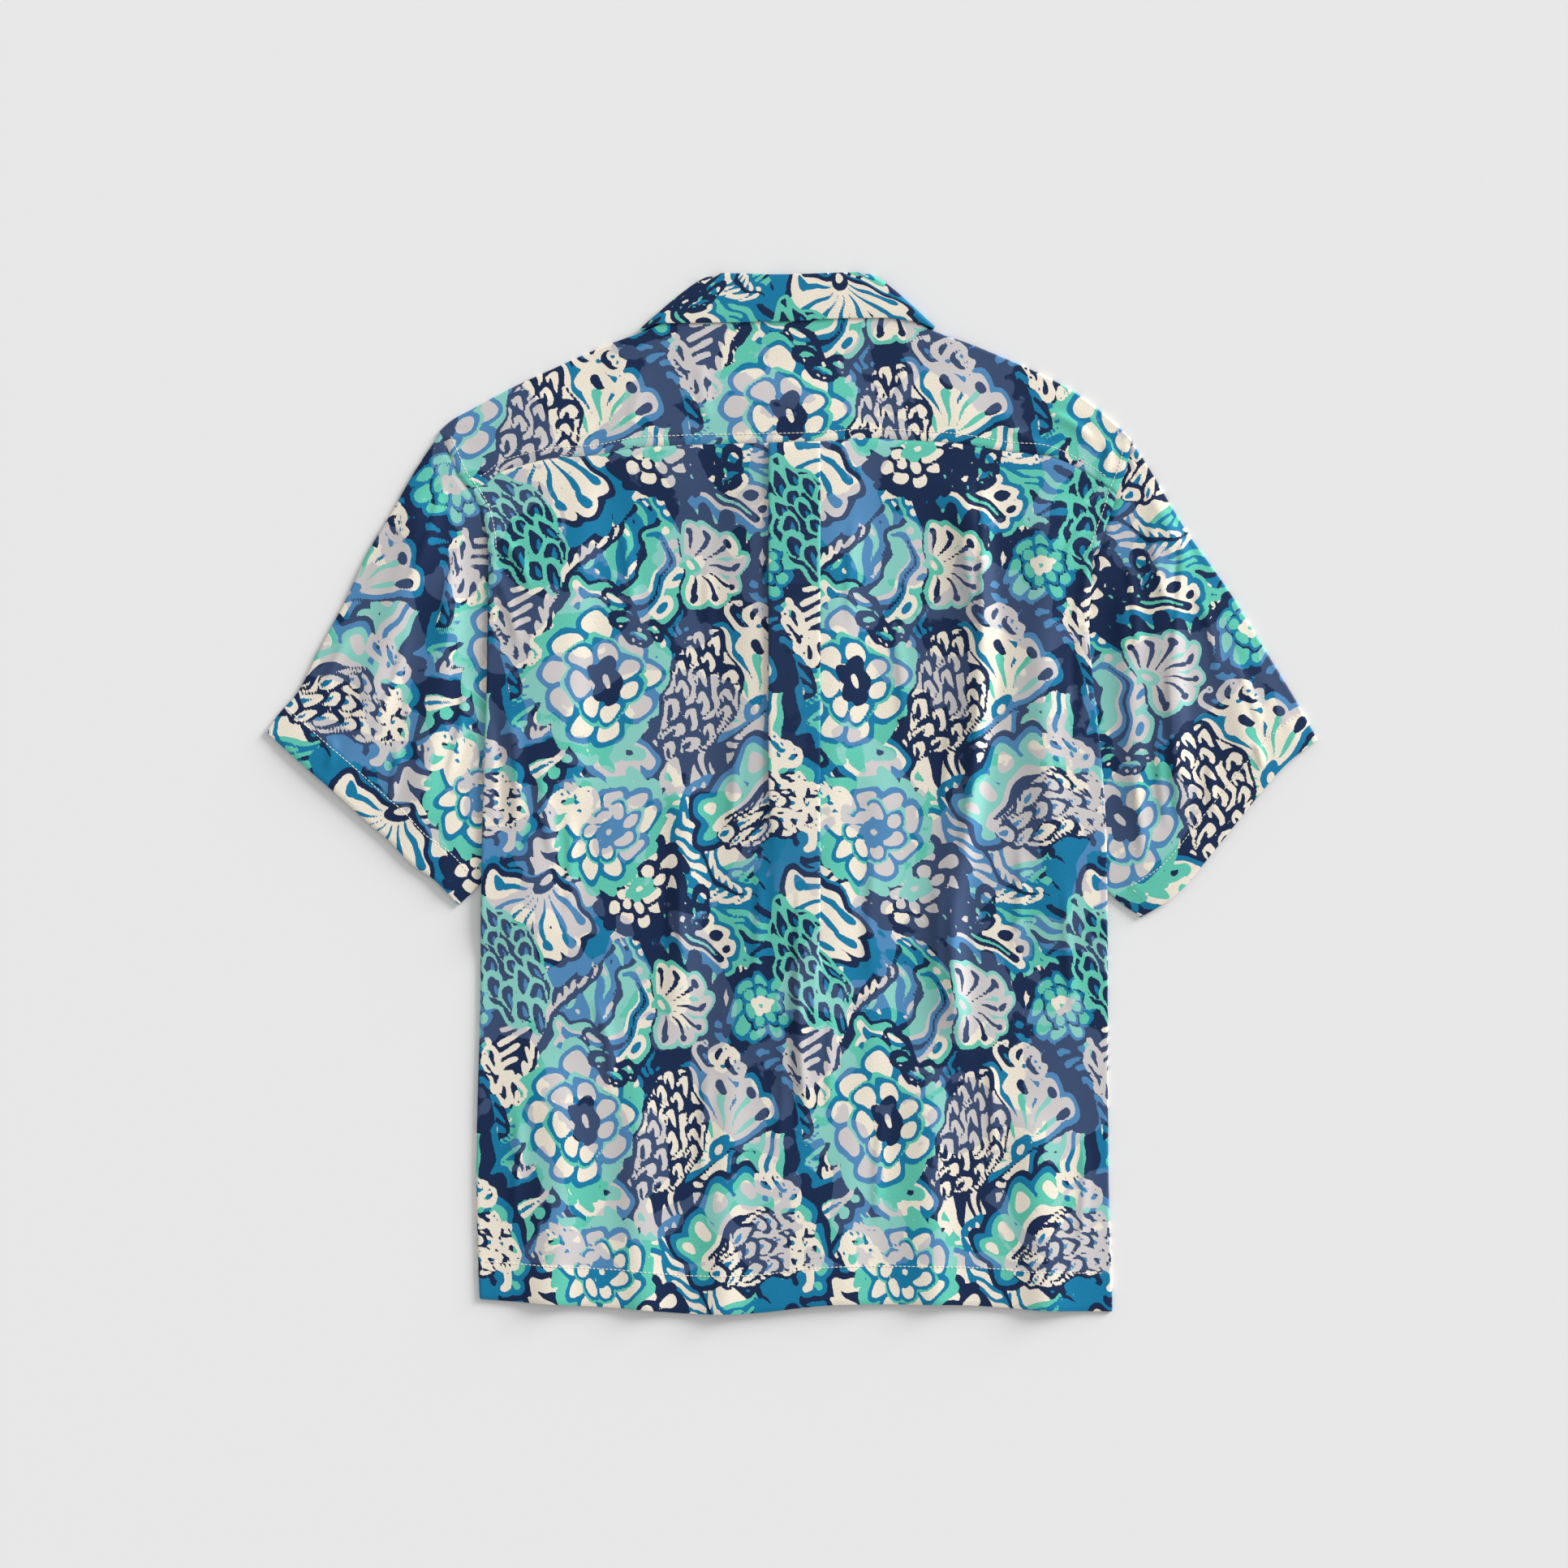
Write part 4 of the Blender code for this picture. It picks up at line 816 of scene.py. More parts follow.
def back_panel():
    """Rows from the yoke's seam down to the hem: out from the pleat's middle, and round both sides."""
    pleat_x, pleat_z, pleat_flat = pleat_half()
    loose = BODY_HALF - pleat_x[-1]
    side_share = np.linspace(0, 1, spread(loose))[1:]
    half_flat = np.r_[pleat_flat, pleat_flat[-1] + side_share * loose]
    flat_x = np.r_[-half_flat[::-1], half_flat[1:]]
    heights = np.linspace(ARMHOLE["left"][YOKE_SEAM_AT].y, HEM[0].y, spread(BACK_LONG))
    seam_skew = ARMHOLE["right"][YOKE_SEAM_AT].y - ARMHOLE["left"][YOKE_SEAM_AT].y
    rows, flats, plies = [], [], []
    for height in heights:
        v = (heights[0] - height) / (heights[0] - heights[-1])
        skew = (HEM[-1].y - HEM[0].y) * rise(v, 0.6, 1) + seam_skew * fall(v, 0, 0.1)
        end_y = {"left": height, "right": height + skew}
        end_x = {side: body_edge(side, end_y[side], CLOTH / 2 + TURN_RADIUS) for side in SIGN}

        def straight_down(x):
            return (1 - v) * height_along(YOKE_SEAM, x) + v * height_along(HEM, x)

        def down(x):
            far = (x - end_x["left"]) / (end_x["right"] - end_x["left"])
            left_off, right_off = (end_y[side] - straight_down(end_x[side]) for side in SIGN)
            return straight_down(x) + left_off * (1 - far) ** 4 + right_off * far ** 4

        middle_y = float(down(PLEAT_CENTRE))
        halves = []
        for side, sign in SIGN.items():
            gone = PLEAT_OPENS[side]
            reach = abs(end_x[side] - PLEAT_CENTRE)
            closed_x = np.r_[pleat_x, pleat_x[-1] + side_share * (reach - pleat_x[-1])]
            closed_z = np.r_[pleat_z, np.zeros(len(side_share))]
            open_x = reach * half_flat / half_flat[-1]
            opened = rise(-middle_y, gone - 60, gone)
            ridge = pleat_z[0] * fall(open_x, 11, 30) * fall(-middle_y, gone, gone + 130)
            halves.append((PLEAT_CENTRE + sign * (closed_x + opened * (open_x - closed_x)),
                           closed_z + opened * (ridge - closed_z)))
        x, lift = (np.r_[left[::-1], right[1:]] for left, right in zip(*halves))
        y = down(x)
        share = fall(np.abs(x - PLEAT_CENTRE), PLEAT_HALF + 6, PLEAT_HALF + 45)
        z = share * top_z(PLEAT_CENTRE, middle_y) + (1 - share) * top_z(x, y) + lift
        z = z + CRISP * fine_creases(BACK_LINES, x, y)
        beside = np.minimum(x - x[0], x[-1] - x)
        z = z + drape(x, y) * rise(beside, 2, 20) * share_of_loose(x, middle_y)
        above_hem = y - height_along(HEM, x)
        z = z + seam_relief(above_hem, x, HEM_STITCH)
        z = z - 0.45 * fall(height_along(YOKE_SEAM, x) - y, 0.3, 2.6)
        z = z + armhole_relief(beside, y, 0.42) * rise(y, 96, 122)
        rows.append(np.c_[x, y, z])
        on_pleat = fall(np.abs(x - PLEAT_CENTRE), PLEAT_HALF - 0.5, PLEAT_HALF + 0.5)
        plies.append(np.maximum(fall(above_hem, HEM_STITCH, HEM_STITCH + 1.5),
                                0.85 * on_pleat * rise(middle_y, -120, -40)))
        flats.append(np.c_[flat_x, y])
    grid, flat = outer_side(np.array(rows)), np.array(flats)

    # The sides are carried round and under, below the armholes
    turned = []
    turn = half_turn(7)[1:]
    around = len(turn) + UNDER_STEPS
    for edge, sign in ((0, -1), (-1, 1)):
        strip = []
        for x, y, z in grid[:, edge]:
            if y > STRIP_TOP:
                strip.append(np.repeat([[x, y, z]], around, axis=0))
                continue
            low = low_z(x, y) - SURFACE
            radius = (z - low) / 2
            under = x - sign * SIDE_TURN * np.linspace(0.2, 1, UNDER_STEPS)
            strip.append(np.c_[np.r_[x + sign * radius * np.cos(turn), under], np.full(around, y),
                               np.r_[low + radius + radius * np.sin(turn), low_z(under, y) - SURFACE]])
        past = sign * np.linspace(1.3, 15.5, around)
        strip_flat = flat[:, edge][:, None] + np.c_[past, np.zeros(around)]
        turned.append((np.array(strip), strip_flat))
    full, full_flat = (np.concatenate([left[:, ::-1], middle, right], axis=1)
                       for left, middle, right in zip(turned[0], (grid, flat), turned[1]))
    plies = np.pad(np.array(plies), ((0, 0), (around, around)), mode="edge")
    keep = np.ones((len(full) - 1, full.shape[1] - 1), bool)
    keep[grid[:-1, 0, 1] > STRIP_TOP, :around] = False
    keep[grid[:-1, -1, 1] > STRIP_TOP, -around:] = False
    return lay_cloth("back_cloth", "back", full, full_flat, keep, plies)


STITCH, STITCH_GAP, THREAD, THREAD_SIDES = 2.6, 0.60, 0.33, 5       # length, space between, half width
# Rings of one stitch: share of its length, share of its thickness, and how far over the cloth
THREAD_RINGS = [(-0.5, 0.25, -0.30), (-0.36, 0.9, 0.02), (0.0, 1.0, 0.16), (0.36, 0.9, 0.02),
                (0.5, 0.25, -0.30)]
CREAM_THREAD = plain_material("cream_thread", (0.80, 0.74, 0.62), 0.55)
CREAM_THREAD.node_tree.nodes["Principled BSDF"].inputs["Sheen Weight"].default_value = 0.2


def sew(name, path, pieces):
    """Stitches along a path of x and y, lying on the highest of the pieces."""
    trees = [BVHTree.FromObject(piece, bpy.context.evaluated_depsgraph_get()) for piece in pieces]

    def on_top(x, y):
        hits = [tree.ray_cast((x * MM, y * MM, 0.1), (0, 0, -1))[0] for tree in trees]
        return max((hit.z / MM for hit in hits if hit is not None), default=None)

    path = np.array(path, float)
    length = lengths_along(path)
    points, faces = [], []
    sides, rings = THREAD_SIDES, len(THREAD_RINGS)
    for n, at in enumerate(np.arange(STITCH, length[-1] - STITCH, STITCH + STITCH_GAP)):
        long = STITCH * (1 + 0.10 * math.sin(2.4 * n))
        centre, before, after = ([np.interp(at + step, length, path[:, k]) for k in (0, 1)]
                                 for step in (0.0, -0.4, 0.4))
        way = np.subtract(after, before)
        way /= np.hypot(*way)
        way = way + 0.05 * math.sin(1.7 * n) * np.array([-way[1], way[0]])
        side = np.array([-way[1], way[0]])
        heights = [on_top(*(centre + way * long * share)) for share, _, _ in THREAD_RINGS]
        if None in heights:
            continue
        first = len(points)
        for (share, thick, lift), height in zip(THREAD_RINGS, heights):
            for angle in math.tau * np.arange(sides) / sides:
                xy = centre + way * long * share + side * THREAD * thick * math.cos(angle)
                points.append((*(xy * MM), (height + lift + THREAD * thick * math.sin(angle)) * MM))
        for r in range(rings - 1):
            for k in range(sides):
                a, b = first + r * sides + k, first + r * sides + (k + 1) % sides
                faces.append((a, b, b + sides, a + sides))
        faces.append(tuple(first + k for k in range(sides)))
        faces.append(tuple(first + (rings - 1) * sides + k for k in reversed(range(sides))))
    mesh = bpy.data.meshes.new(name)
    mesh.from_pydata(points, [], faces)
    mesh.validate()
    mesh.shade_smooth()
    mesh.materials.append(CREAM_THREAD)
    return fixed_piece(name, mesh)


back = back_panel()
hem_x = np.linspace(-231, 237, 120)
hem_stitches = sew("hem_stitches", np.c_[hem_x, height_along(HEM, hem_x) + HEM_STITCH], [back])


# ---------------------------------------------------------------------------------------------------
# The yoke: one piece over both shoulders, sewn to the back behind and turned under to the fronts'
# shoulder seams. A row of stitches runs along its back edge, and one inside each armhole.

YOKE_TURN = 24.0
NECK_HALF, NECK_Y = 80.0, 359.0
SHOULDER = listed(
    Point,
    (-263.8, 270.3), (-258, 276.3), (-236, 289.8), (-215, 301.3), (-179, 318.4), (-140, 335.8),
    (-112, 346), (-80, 359.5), (-40, 360), (0, 359.6), (40, 360), (80, 359.5), (106, 347), (134, 337),
    (162.6, 325.1), (188.8, 313.2), (214.4, 298.9), (237.6, 280.6), (247, 272), (254.9, 264))
YOKE_WIDE, YOKE_DEEP = 500.0, 96.0
YOKE_PRINT = np.array([83.0, 131.0])       # where the yoke was cut from the print
YOKE_LINES = listed(
    Line,
    (-226, 262, -170, 300, 6, 0.7, 3, 5), (-206, 252, -140, 282, -5, 0.5, 3, 4),
    (236, 266, 232, 236, 3, 0.9, 2.2, 3.6), (228, 262, 190, 286, -4, 0.7, 3, 4.6),
    (206, 254, 150, 288, 5, 0.5, 3.2, 4.6), (-60, 276, -66, 330, 4, 0.4, 4, 5),
    (72, 280, 84, 326, -4, 0.4, 4, 5), (-120, 270, -104, 320, 4, 0.4, 3.6, 5))


def yoke_piece():
    """Rows from the back's seam up to the shoulders, round their fold and under to the fronts."""
    share = np.linspace(0, 1, spread(YOKE_WIDE))
    left_end, right_end = (ARMHOLE[side][YOKE_SEAM_AT::-1] for side in SIGN)
    seam_x = left_end[0].x + (right_end[0].x - left_end[0].x) * share
    seam = np.c_[seam_x, height_along(YOKE_SEAM, seam_x)]
    top_x = left_end[-1].x + 1.2 + (right_end[-1].x - left_end[-1].x - 2.4) * share
    slope = (height_along(SHOULDER, top_x + 2) - height_along(SHOULDER, top_x - 2)) / 4
    folded = rise(np.abs(top_x), NECK_HALF - 4, NECK_HALF + 4)
    out = np.c_[-slope, np.ones(len(top_x))] / np.hypot(slope, 1)[:, None]
    out[:, 0] *= folded
    top = np.c_[top_x, height_along(SHOULDER, top_x)]
    top = top - out * (CLOTH / 2 + TURN_RADIUS) * folded[:, None]
    top[:, 1] = np.where(folded < 0.5, NECK_Y, top[:, 1])
    down = np.linspace(0, 1, spread(YOKE_DEEP))
    rows, flats = [], []
    for v, left, right in zip(down, along_row(left_end, down), along_row(right_end, down)):
        row = seam + (top - seam) * v
        row = row + (left - row[0]) * ((1 - share) ** 5)[:, None] + (right - row[-1]) * (share ** 5)[:, None]
        x, y = row.T
        beside = np.minimum(share, 1 - share) * (right[0] - left[0])
        relief = (0.8 * drape(x, y) * rise(beside, 2, 18) + armhole_relief(beside, y, 0.30)
                  + seam_relief(y - height_along(YOKE_SEAM, x), x, YOKE_STITCH) + 0.15)
        z = top_z(x, y) + CRISP * fine_creases(YOKE_LINES, x, y) + relief * fall(v, 0.8, 1)
        rows.append(np.c_[row, z])
        flats.append(row + YOKE_PRINT)
    edge = rows[-1]
    low = low_z(edge[:, 0], edge[:, 1])
    radius = (edge[:, 2] - low) / 2
    for angle in half_turn(8)[1:]:
        rows.append(np.c_[edge[:, :2] + out * (radius * np.cos(angle))[:, None],
                          low + radius + radius * np.sin(angle)])
        flats.append(edge[:, :2] + YOKE_PRINT + out * (radius * np.radians(90) - radius * angle)[:, None])
    for past in np.linspace(0, YOKE_TURN, 8)[1:]:
        under = edge[:, :2] - out * past
        rows.append(np.c_[under, low_z(under[:, 0], under[:, 1])])
        flats.append(edge[:, :2] + YOKE_PRINT + out * (past + 3))
    keep = np.ones((len(rows) - 1, len(share) - 1), bool)
    keep[len(down) - 1:, np.abs(top_x[:-1]) < NECK_HALF + 4] = False
    grid, flat = outer_side(np.array(rows)[::-1]), np.array(flats)[::-1]
    return lay_cloth("yoke_cloth", "yoke", grid, flat, keep[::-1])


def beside_armhole(side, out):
    """The armhole's line, moved into the body, from the shoulder down to where the side folds over it."""
    hole = along_row(ARMHOLE[side][:TUCK_AT + 1], np.linspace(0.04, 0.93, 40))
    way = np.gradient(hole, axis=0)
    way /= np.hypot(*way.T)[:, None]
    return hole - SIGN[side] * out * np.c_[-way[:, 1], way[:, 0]]


yoke = yoke_piece()
yoke_x = np.linspace(-236, 239, 120)
yoke_stitches = sew("yoke_stitches", np.c_[yoke_x, height_along(YOKE_SEAM, yoke_x) + YOKE_STITCH], [yoke])
armhole_stitches = [sew(f"armhole_stitches_{side}", beside_armhole(side, ARMHOLE_STITCH), [back, yoke])
                    for side in SIGN]


# ---------------------------------------------------------------------------------------------------
# The sleeves: short flattened tubes of the same cloth, sewn into the armholes, with a wide hem turned
# to the inside and stitched. They are set at a slant, and the print runs along them.

SLEEVE_OVER = {
    "left": listed(
        Point,
        (-263.8, 270.3), (-279.7, 247), (-300.4, 211), (-318.7, 180), (-337, 141), (-355.3, 107.4),
        (-373, 73.2), (-383.4, 61.6), (-395, 46.4)),
    "right": listed(
        Point,
        (254.9, 264), (266.3, 247), (284.6, 216), (297.4, 195.2), (315.7, 169.6), (333.7, 143.4),
        (349.2, 117.7), (362, 97), (378, 70.8), (395, 40)),
}
SLEEVE_HEM = {
    "left": listed(
        Point,
        (-395, 46.4), (-364.5, 18.9), (-337.3, -4.6), (-316.3, -23.8), (-303.5, -34.5), (-282.7, -55.5),
        (-271, -63), (-249.8, -84.2)),
    "right": listed(
        Point,
        (395, 40), (374.8, 25), (347, -6), (318, -42.1), (287, -77.5), (262, -93.5)),
}
SLEEVE_UNDER = {
    "left": listed(
        Point,
        (-205, 20), (-217, -22), (-232, -66), (-249.8, -84.2)),
    "right": listed(
        Point,
        (208, 20), (216, -22), (235, -72), (262, -93.5)),
}
SLEEVE_CREASES = {
    "left": [Crease([(235, -270), (150, -292), (60, -320), (10, -336)], 3, 13, 15, 70),
             Crease([(180, -248), (90, -262), (0, -276), (-50, -284)], 2.8, 14, 11, 60)],
    "right": [Crease([(254, 262), (217, 284.6), (199, 290), (174, 282), (112, 285.8), (30, 292), (-20, 295)],
                     3.6, 18, 7, 45),
              Crease([(170, 246), (90, 252), (0, 256), (-50, 258)], 2.8, 10, 12, 60),
              Crease([(110, 326), (50, 338), (0, 345)], 2.4, 12, 10, 50)]}
SLEEVE_LINES = {
    "left": listed(
        Line,
        (-262, 236, -292, 150, 4, 0.8, 3, 5), (-246, 196, -262, 110, -4, 0.7, 3, 4.6),
        (-286, 130, -318, 40, 4, 0.7, 3.4, 5), (-244, 90, -262, 0, 3, 0.8, 3, 4.4),
        (-330, 120, -352, 70, -3, 0.6, 3, 4), (-296, 40, -306, -14, 3, 0.7, 2.8, 4),
        (-344, 44, -350, 16, 2, 0.6, 2.6, 3.6)),
    "right": listed(
        Line,
        (292, 244, 283, 90, 4, 1.3, 2.2, 7), (283, 110, 293, -30, -3, 1, 2.4, 7),
        (270, 214, 284, 130, -4, 0.8, 3, 5), (250, 180, 258, 96, 3, 0.8, 2.8, 4.4),
        (300, 160, 320, 80, 4, 0.7, 3.2, 5), (276, 60, 282, -30, -3, 0.8, 3, 4.6),
        (330, 100, 352, 44, 3, 0.7, 3, 4), (316, 30, 318, -20, -3, 0.7, 2.8, 4.2),
        (346, 40, 352, 16, 2, 0.9, 2.2, 3.2), (254, 20, 262, -56, 3, 0.7, 3, 4.4)),
}
SLEEVE_LONG = 250.0
# The slant of each sleeve, and where it was cut from the print
SLEEVE_TURN = {"left": 26.0, "right": -26.0}
SLEEVE_PRINT = {"left": np.array([40.0, 75.0]), "right": np.array([131.0, 210.0])}


def sleeve_piece(side):
    """Rings round the flattened tube, from the armhole to the hem, closed under its middle."""
    over_edge, under_edge, hem_edge, hole = (np.array(table[side], float) for table in
                                             (SLEEVE_OVER, SLEEVE_UNDER, SLEEVE_HEM, ARMHOLE))
    hole_length, hem_length = (np.hypot(*np.diff(edge, axis=0).T).sum() for edge in (hole, hem_edge))
    axis = np.array([math.sin(math.radians(SLEEVE_TURN[side])), math.cos(math.radians(SLEEVE_TURN[side]))])
    turn = half_turn(6)[1:-1]

    def sleeve_length(t):
        """Length of the sleeve from its armhole to its hem, at a share of the way round."""
        return np.hypot(*(along_row(hole, t) - along_row(hem_edge, t)).T)

    rows, flats, plies = [], [], []
    for s in np.linspace(0, 1, spread(SLEEVE_LONG)):
        width = (1 - s) * hole_length + s * hem_length
        near = (CLOTH / 2 + TURN_RADIUS) / width
        even = near + (1 - 2 * near) * np.linspace(0, 1, spread(hole_length))
        bend = near - TURN_RADIUS / width * np.cos(turn)
        half = len(even) // 2
        t = np.r_[even[half::-1], bend, even, 1 - bend[::-1], even[:half - 1:-1]]
        lift = np.r_[np.zeros(half + 1), 0.5 - 0.5 * np.sin(turn), np.ones(len(even)),
                     0.5 + 0.5 * np.sin(turn), np.zeros(len(even) - half)]
        a = t[:, None]
        over, under = along_row(over_edge, s), along_row(under_edge, s)
        seam, hem = along_row(hole, t), along_row(hem_edge, t)
        corners = ((1 - a) * (1 - s) * hole[0] + a * (1 - s) * hole[-1]
                   + (1 - a) * s * hem_edge[0] + a * s * hem_edge[-1])
        x, y = ((1 - s) * seam + s * hem + (1 - a) * over + a * under - corners).T
        outward = rise(-inward(x, np.minimum(y, ARMHOLE_TOP)), 3, 30) * rise(s, 0, 0.25)
        from_fold = np.minimum(t, 1 - t) * width
        upper = lift >= 0.999
        full = FULLNESS + creases(SLEEVE_CREASES[side], x, y)
        rounded = upper * outward * rise(from_fold, TURN_RADIUS, 18) * full
        fine = upper * CRISP * fine_creases(SLEEVE_LINES[side], x, y) * rise(from_fold, 2, 12)
        off_side = rise(from_fold, 1, 14)
        from_hem, from_hole = (1 - s) * sleeve_length(t), s * SLEEVE_LONG
        along = t * width
        relief = seam_relief(from_hem, along, SLEEVE_STITCH) - 0.9 * fall(from_hole, 0.2, 4.5)
        loose = drape(x, y) * rise(from_hole, 3, 25) + gathers(from_hole, along, 14, 0.40)
        z = FLOOR_LAYER + lift * LOFT + rounded + upper * off_side * (fine + relief + loose)
        rows.append(np.c_[x, y, z])
        plies.append(fall(from_hem, SLEEVE_STITCH, SLEEVE_STITCH + 1.5))
        cut = np.c_[x * axis[1] - y * axis[0], x * axis[0] + y * axis[1]]
        fold_at = over[0] * axis[1] - over[1] * axis[0]
        cut[:, 0] = np.where(lift > 0.5, cut[:, 0], 2 * fold_at - cut[:, 0])
        flats.append(cut + SLEEVE_PRINT[side])
    way = -SIGN[side]       # the right sleeve's points run the other way round
    grid, flat, plies = (np.array(table)[:, ::way] for table in (rows, flats, plies))
    return lay_cloth(f"sleeve_{side}_cloth", f"sleeve_{side}", outer_side(grid), flat, plies=plies)


for side, area in (("left", 0.073), ("right", 0.075)):
    sleeve = sleeve_piece(side)
    t = np.linspace(0.008, 0.992, 90)
    hem, hole = along_row(SLEEVE_HEM[side], t), along_row(ARMHOLE[side], t)
    inward_way = (hole - hem) / np.hypot(*(hole - hem).T)[:, None]
    stitches = sew(f"sleeve_stitches_{side}", hem + inward_way * SLEEVE_STITCH, [sleeve])


# ---------------------------------------------------------------------------------------------------
# The fronts: the lower layer of the shirt, each from its side seam to past the centre line. The left
# one laps over the right and lies nearest the surface. They are hidden and finished plainly.

NECKLINE = listed(
    Point,
    (-15, 288), (0, 288), (10, 289), (24, 294), (46, 308), (70, 337))
COARSE = 2.2            # spacing of the points in the hidden fronts
FRONT_WIDE, FRONT_LONG = 250.0, 630.0
FRONT_IN, FRONT_DOWN = 30.0, 40.0       # where the fronts were cut from the print


def front_panel(side):
    """Rows from the shoulder and the neckline down to the hem, from the side to the lap."""
    sign = SIGN[side]
    share = np.linspace(0, 1, spread(FRONT_WIDE, COARSE))
    hem_y = HEM[0].y if side == "left" else HEM[-1].y
    shoulder_end = ARMHOLE[side][FRONT_SEAM_AT]
    top_x = shoulder_end.x + (-sign * LAP - shoulder_end.x) * share
    shoulder = height_along(SHOULDER, top_x) - YOKE_TURN * 1.06
    on_neck = rise(np.abs(top_x), NECK_HALF - 12, NECK_HALF + 6)
    inner = height_along(NECKLINE, np.clip(sign * top_x, -LAP, 70))
    top_y = np.minimum(inner + (shoulder - inner) * on_neck, shoulder)
    rows, flats = [], []
    for height in np.linspace(shoulder_end.y, hem_y, spread(FRONT_LONG, COARSE)):
        g = (shoulder_end.y - height) / (shoulder_end.y - hem_y)
        end_x = body_edge(side, height, CLOTH / 2 + TURN_RADIUS + SIDE_TURN + 0.3)
        x = end_x + (-sign * LAP - end_x) * share
        y = top_y + (height_along(HEM, x) - top_y) * g
        z = low_z(x, y) + (LAYER * fall(x, LAP + 2, LAP + 40) if side == "right" else 0)
        rows.append(np.c_[x, y, z - SURFACE])
        flats.append(np.c_[x - sign * FRONT_IN, y - FRONT_DOWN])
    way = sign              # the left front's points run the other way across
    grid, flat = np.array(rows)[:, ::way], np.array(flats)[:, ::way]
    return lay_cloth(f"front_{side}_cloth", f"front_{side}", grid, flat)


for side, below in (("left", ["floor"]), ("right", ["floor", "front_left_cloth"])):
    front_panel(side)


# ---------------------------------------------------------------------------------------------------
# The collar: two plies of the cloth turned out and pressed. Its leaf falls over its stand behind the
# neck and goes round both shoulders to the front, where it lies open under the fronts.

Section = namedtuple("Section", "roll_x roll_y edge_x edge_y")
COLLAR_FRONT = listed(
    Section,
    (-3, 288, -46, 240), (-20, 300, -72, 262), (-40, 325, -93, 296), (-54, 362, -109, 334))
COLLAR_BEND = {"left": Section(-60, 388.5, -114.5, 349), "right": Section(56, 390.5, 108, 350.5)}
COLLAR_BACK = listed(
    Section,
    (-53, 390, -101, 352.3), (-40, 390, -72, 352.6), (-20, 389.2, -36, 353), (0, 389.3, 0, 353.8),
    (21, 390, 36, 356), (40, 390.6, 72, 356.4), (50, 390.8, 96, 353.2))
COLLAR_PLY, PRESSED = 0.9, 0.25         # both plies, and how much thinner they are at the pressed edge
COLLAR_DOWN = 60.0                      # where the collar was cut from the print
STAND_WIDE, STAND_FLARE = 110.0, 0.35   # the stand's width, and how much wider its lower edge is
STAND_Z = COLLAR_ROOM + FLOOR_LAYER + LOFT      # height of the stand, and of the leaf that falls over it
LEAF_Z = STAND_Z + LAYER
BOTH_EDGES = 1.7        # the fold line's, the edge's and the rise's lengths together, over the collar's own
CORNER_BOW, CORNER_REACH = 3.4, 16.0      # how far each upper corner rounds out, and over what length


def bend_way(row):
    """Unit direction out of the collar's corner, square to its fold line."""
    way = np.array([row.edge_x - row.roll_x, row.edge_y - row.roll_y])
    out = np.array([-way[1], way[0]]) / np.hypot(*way)
    return out if out[1] > 0 else -out


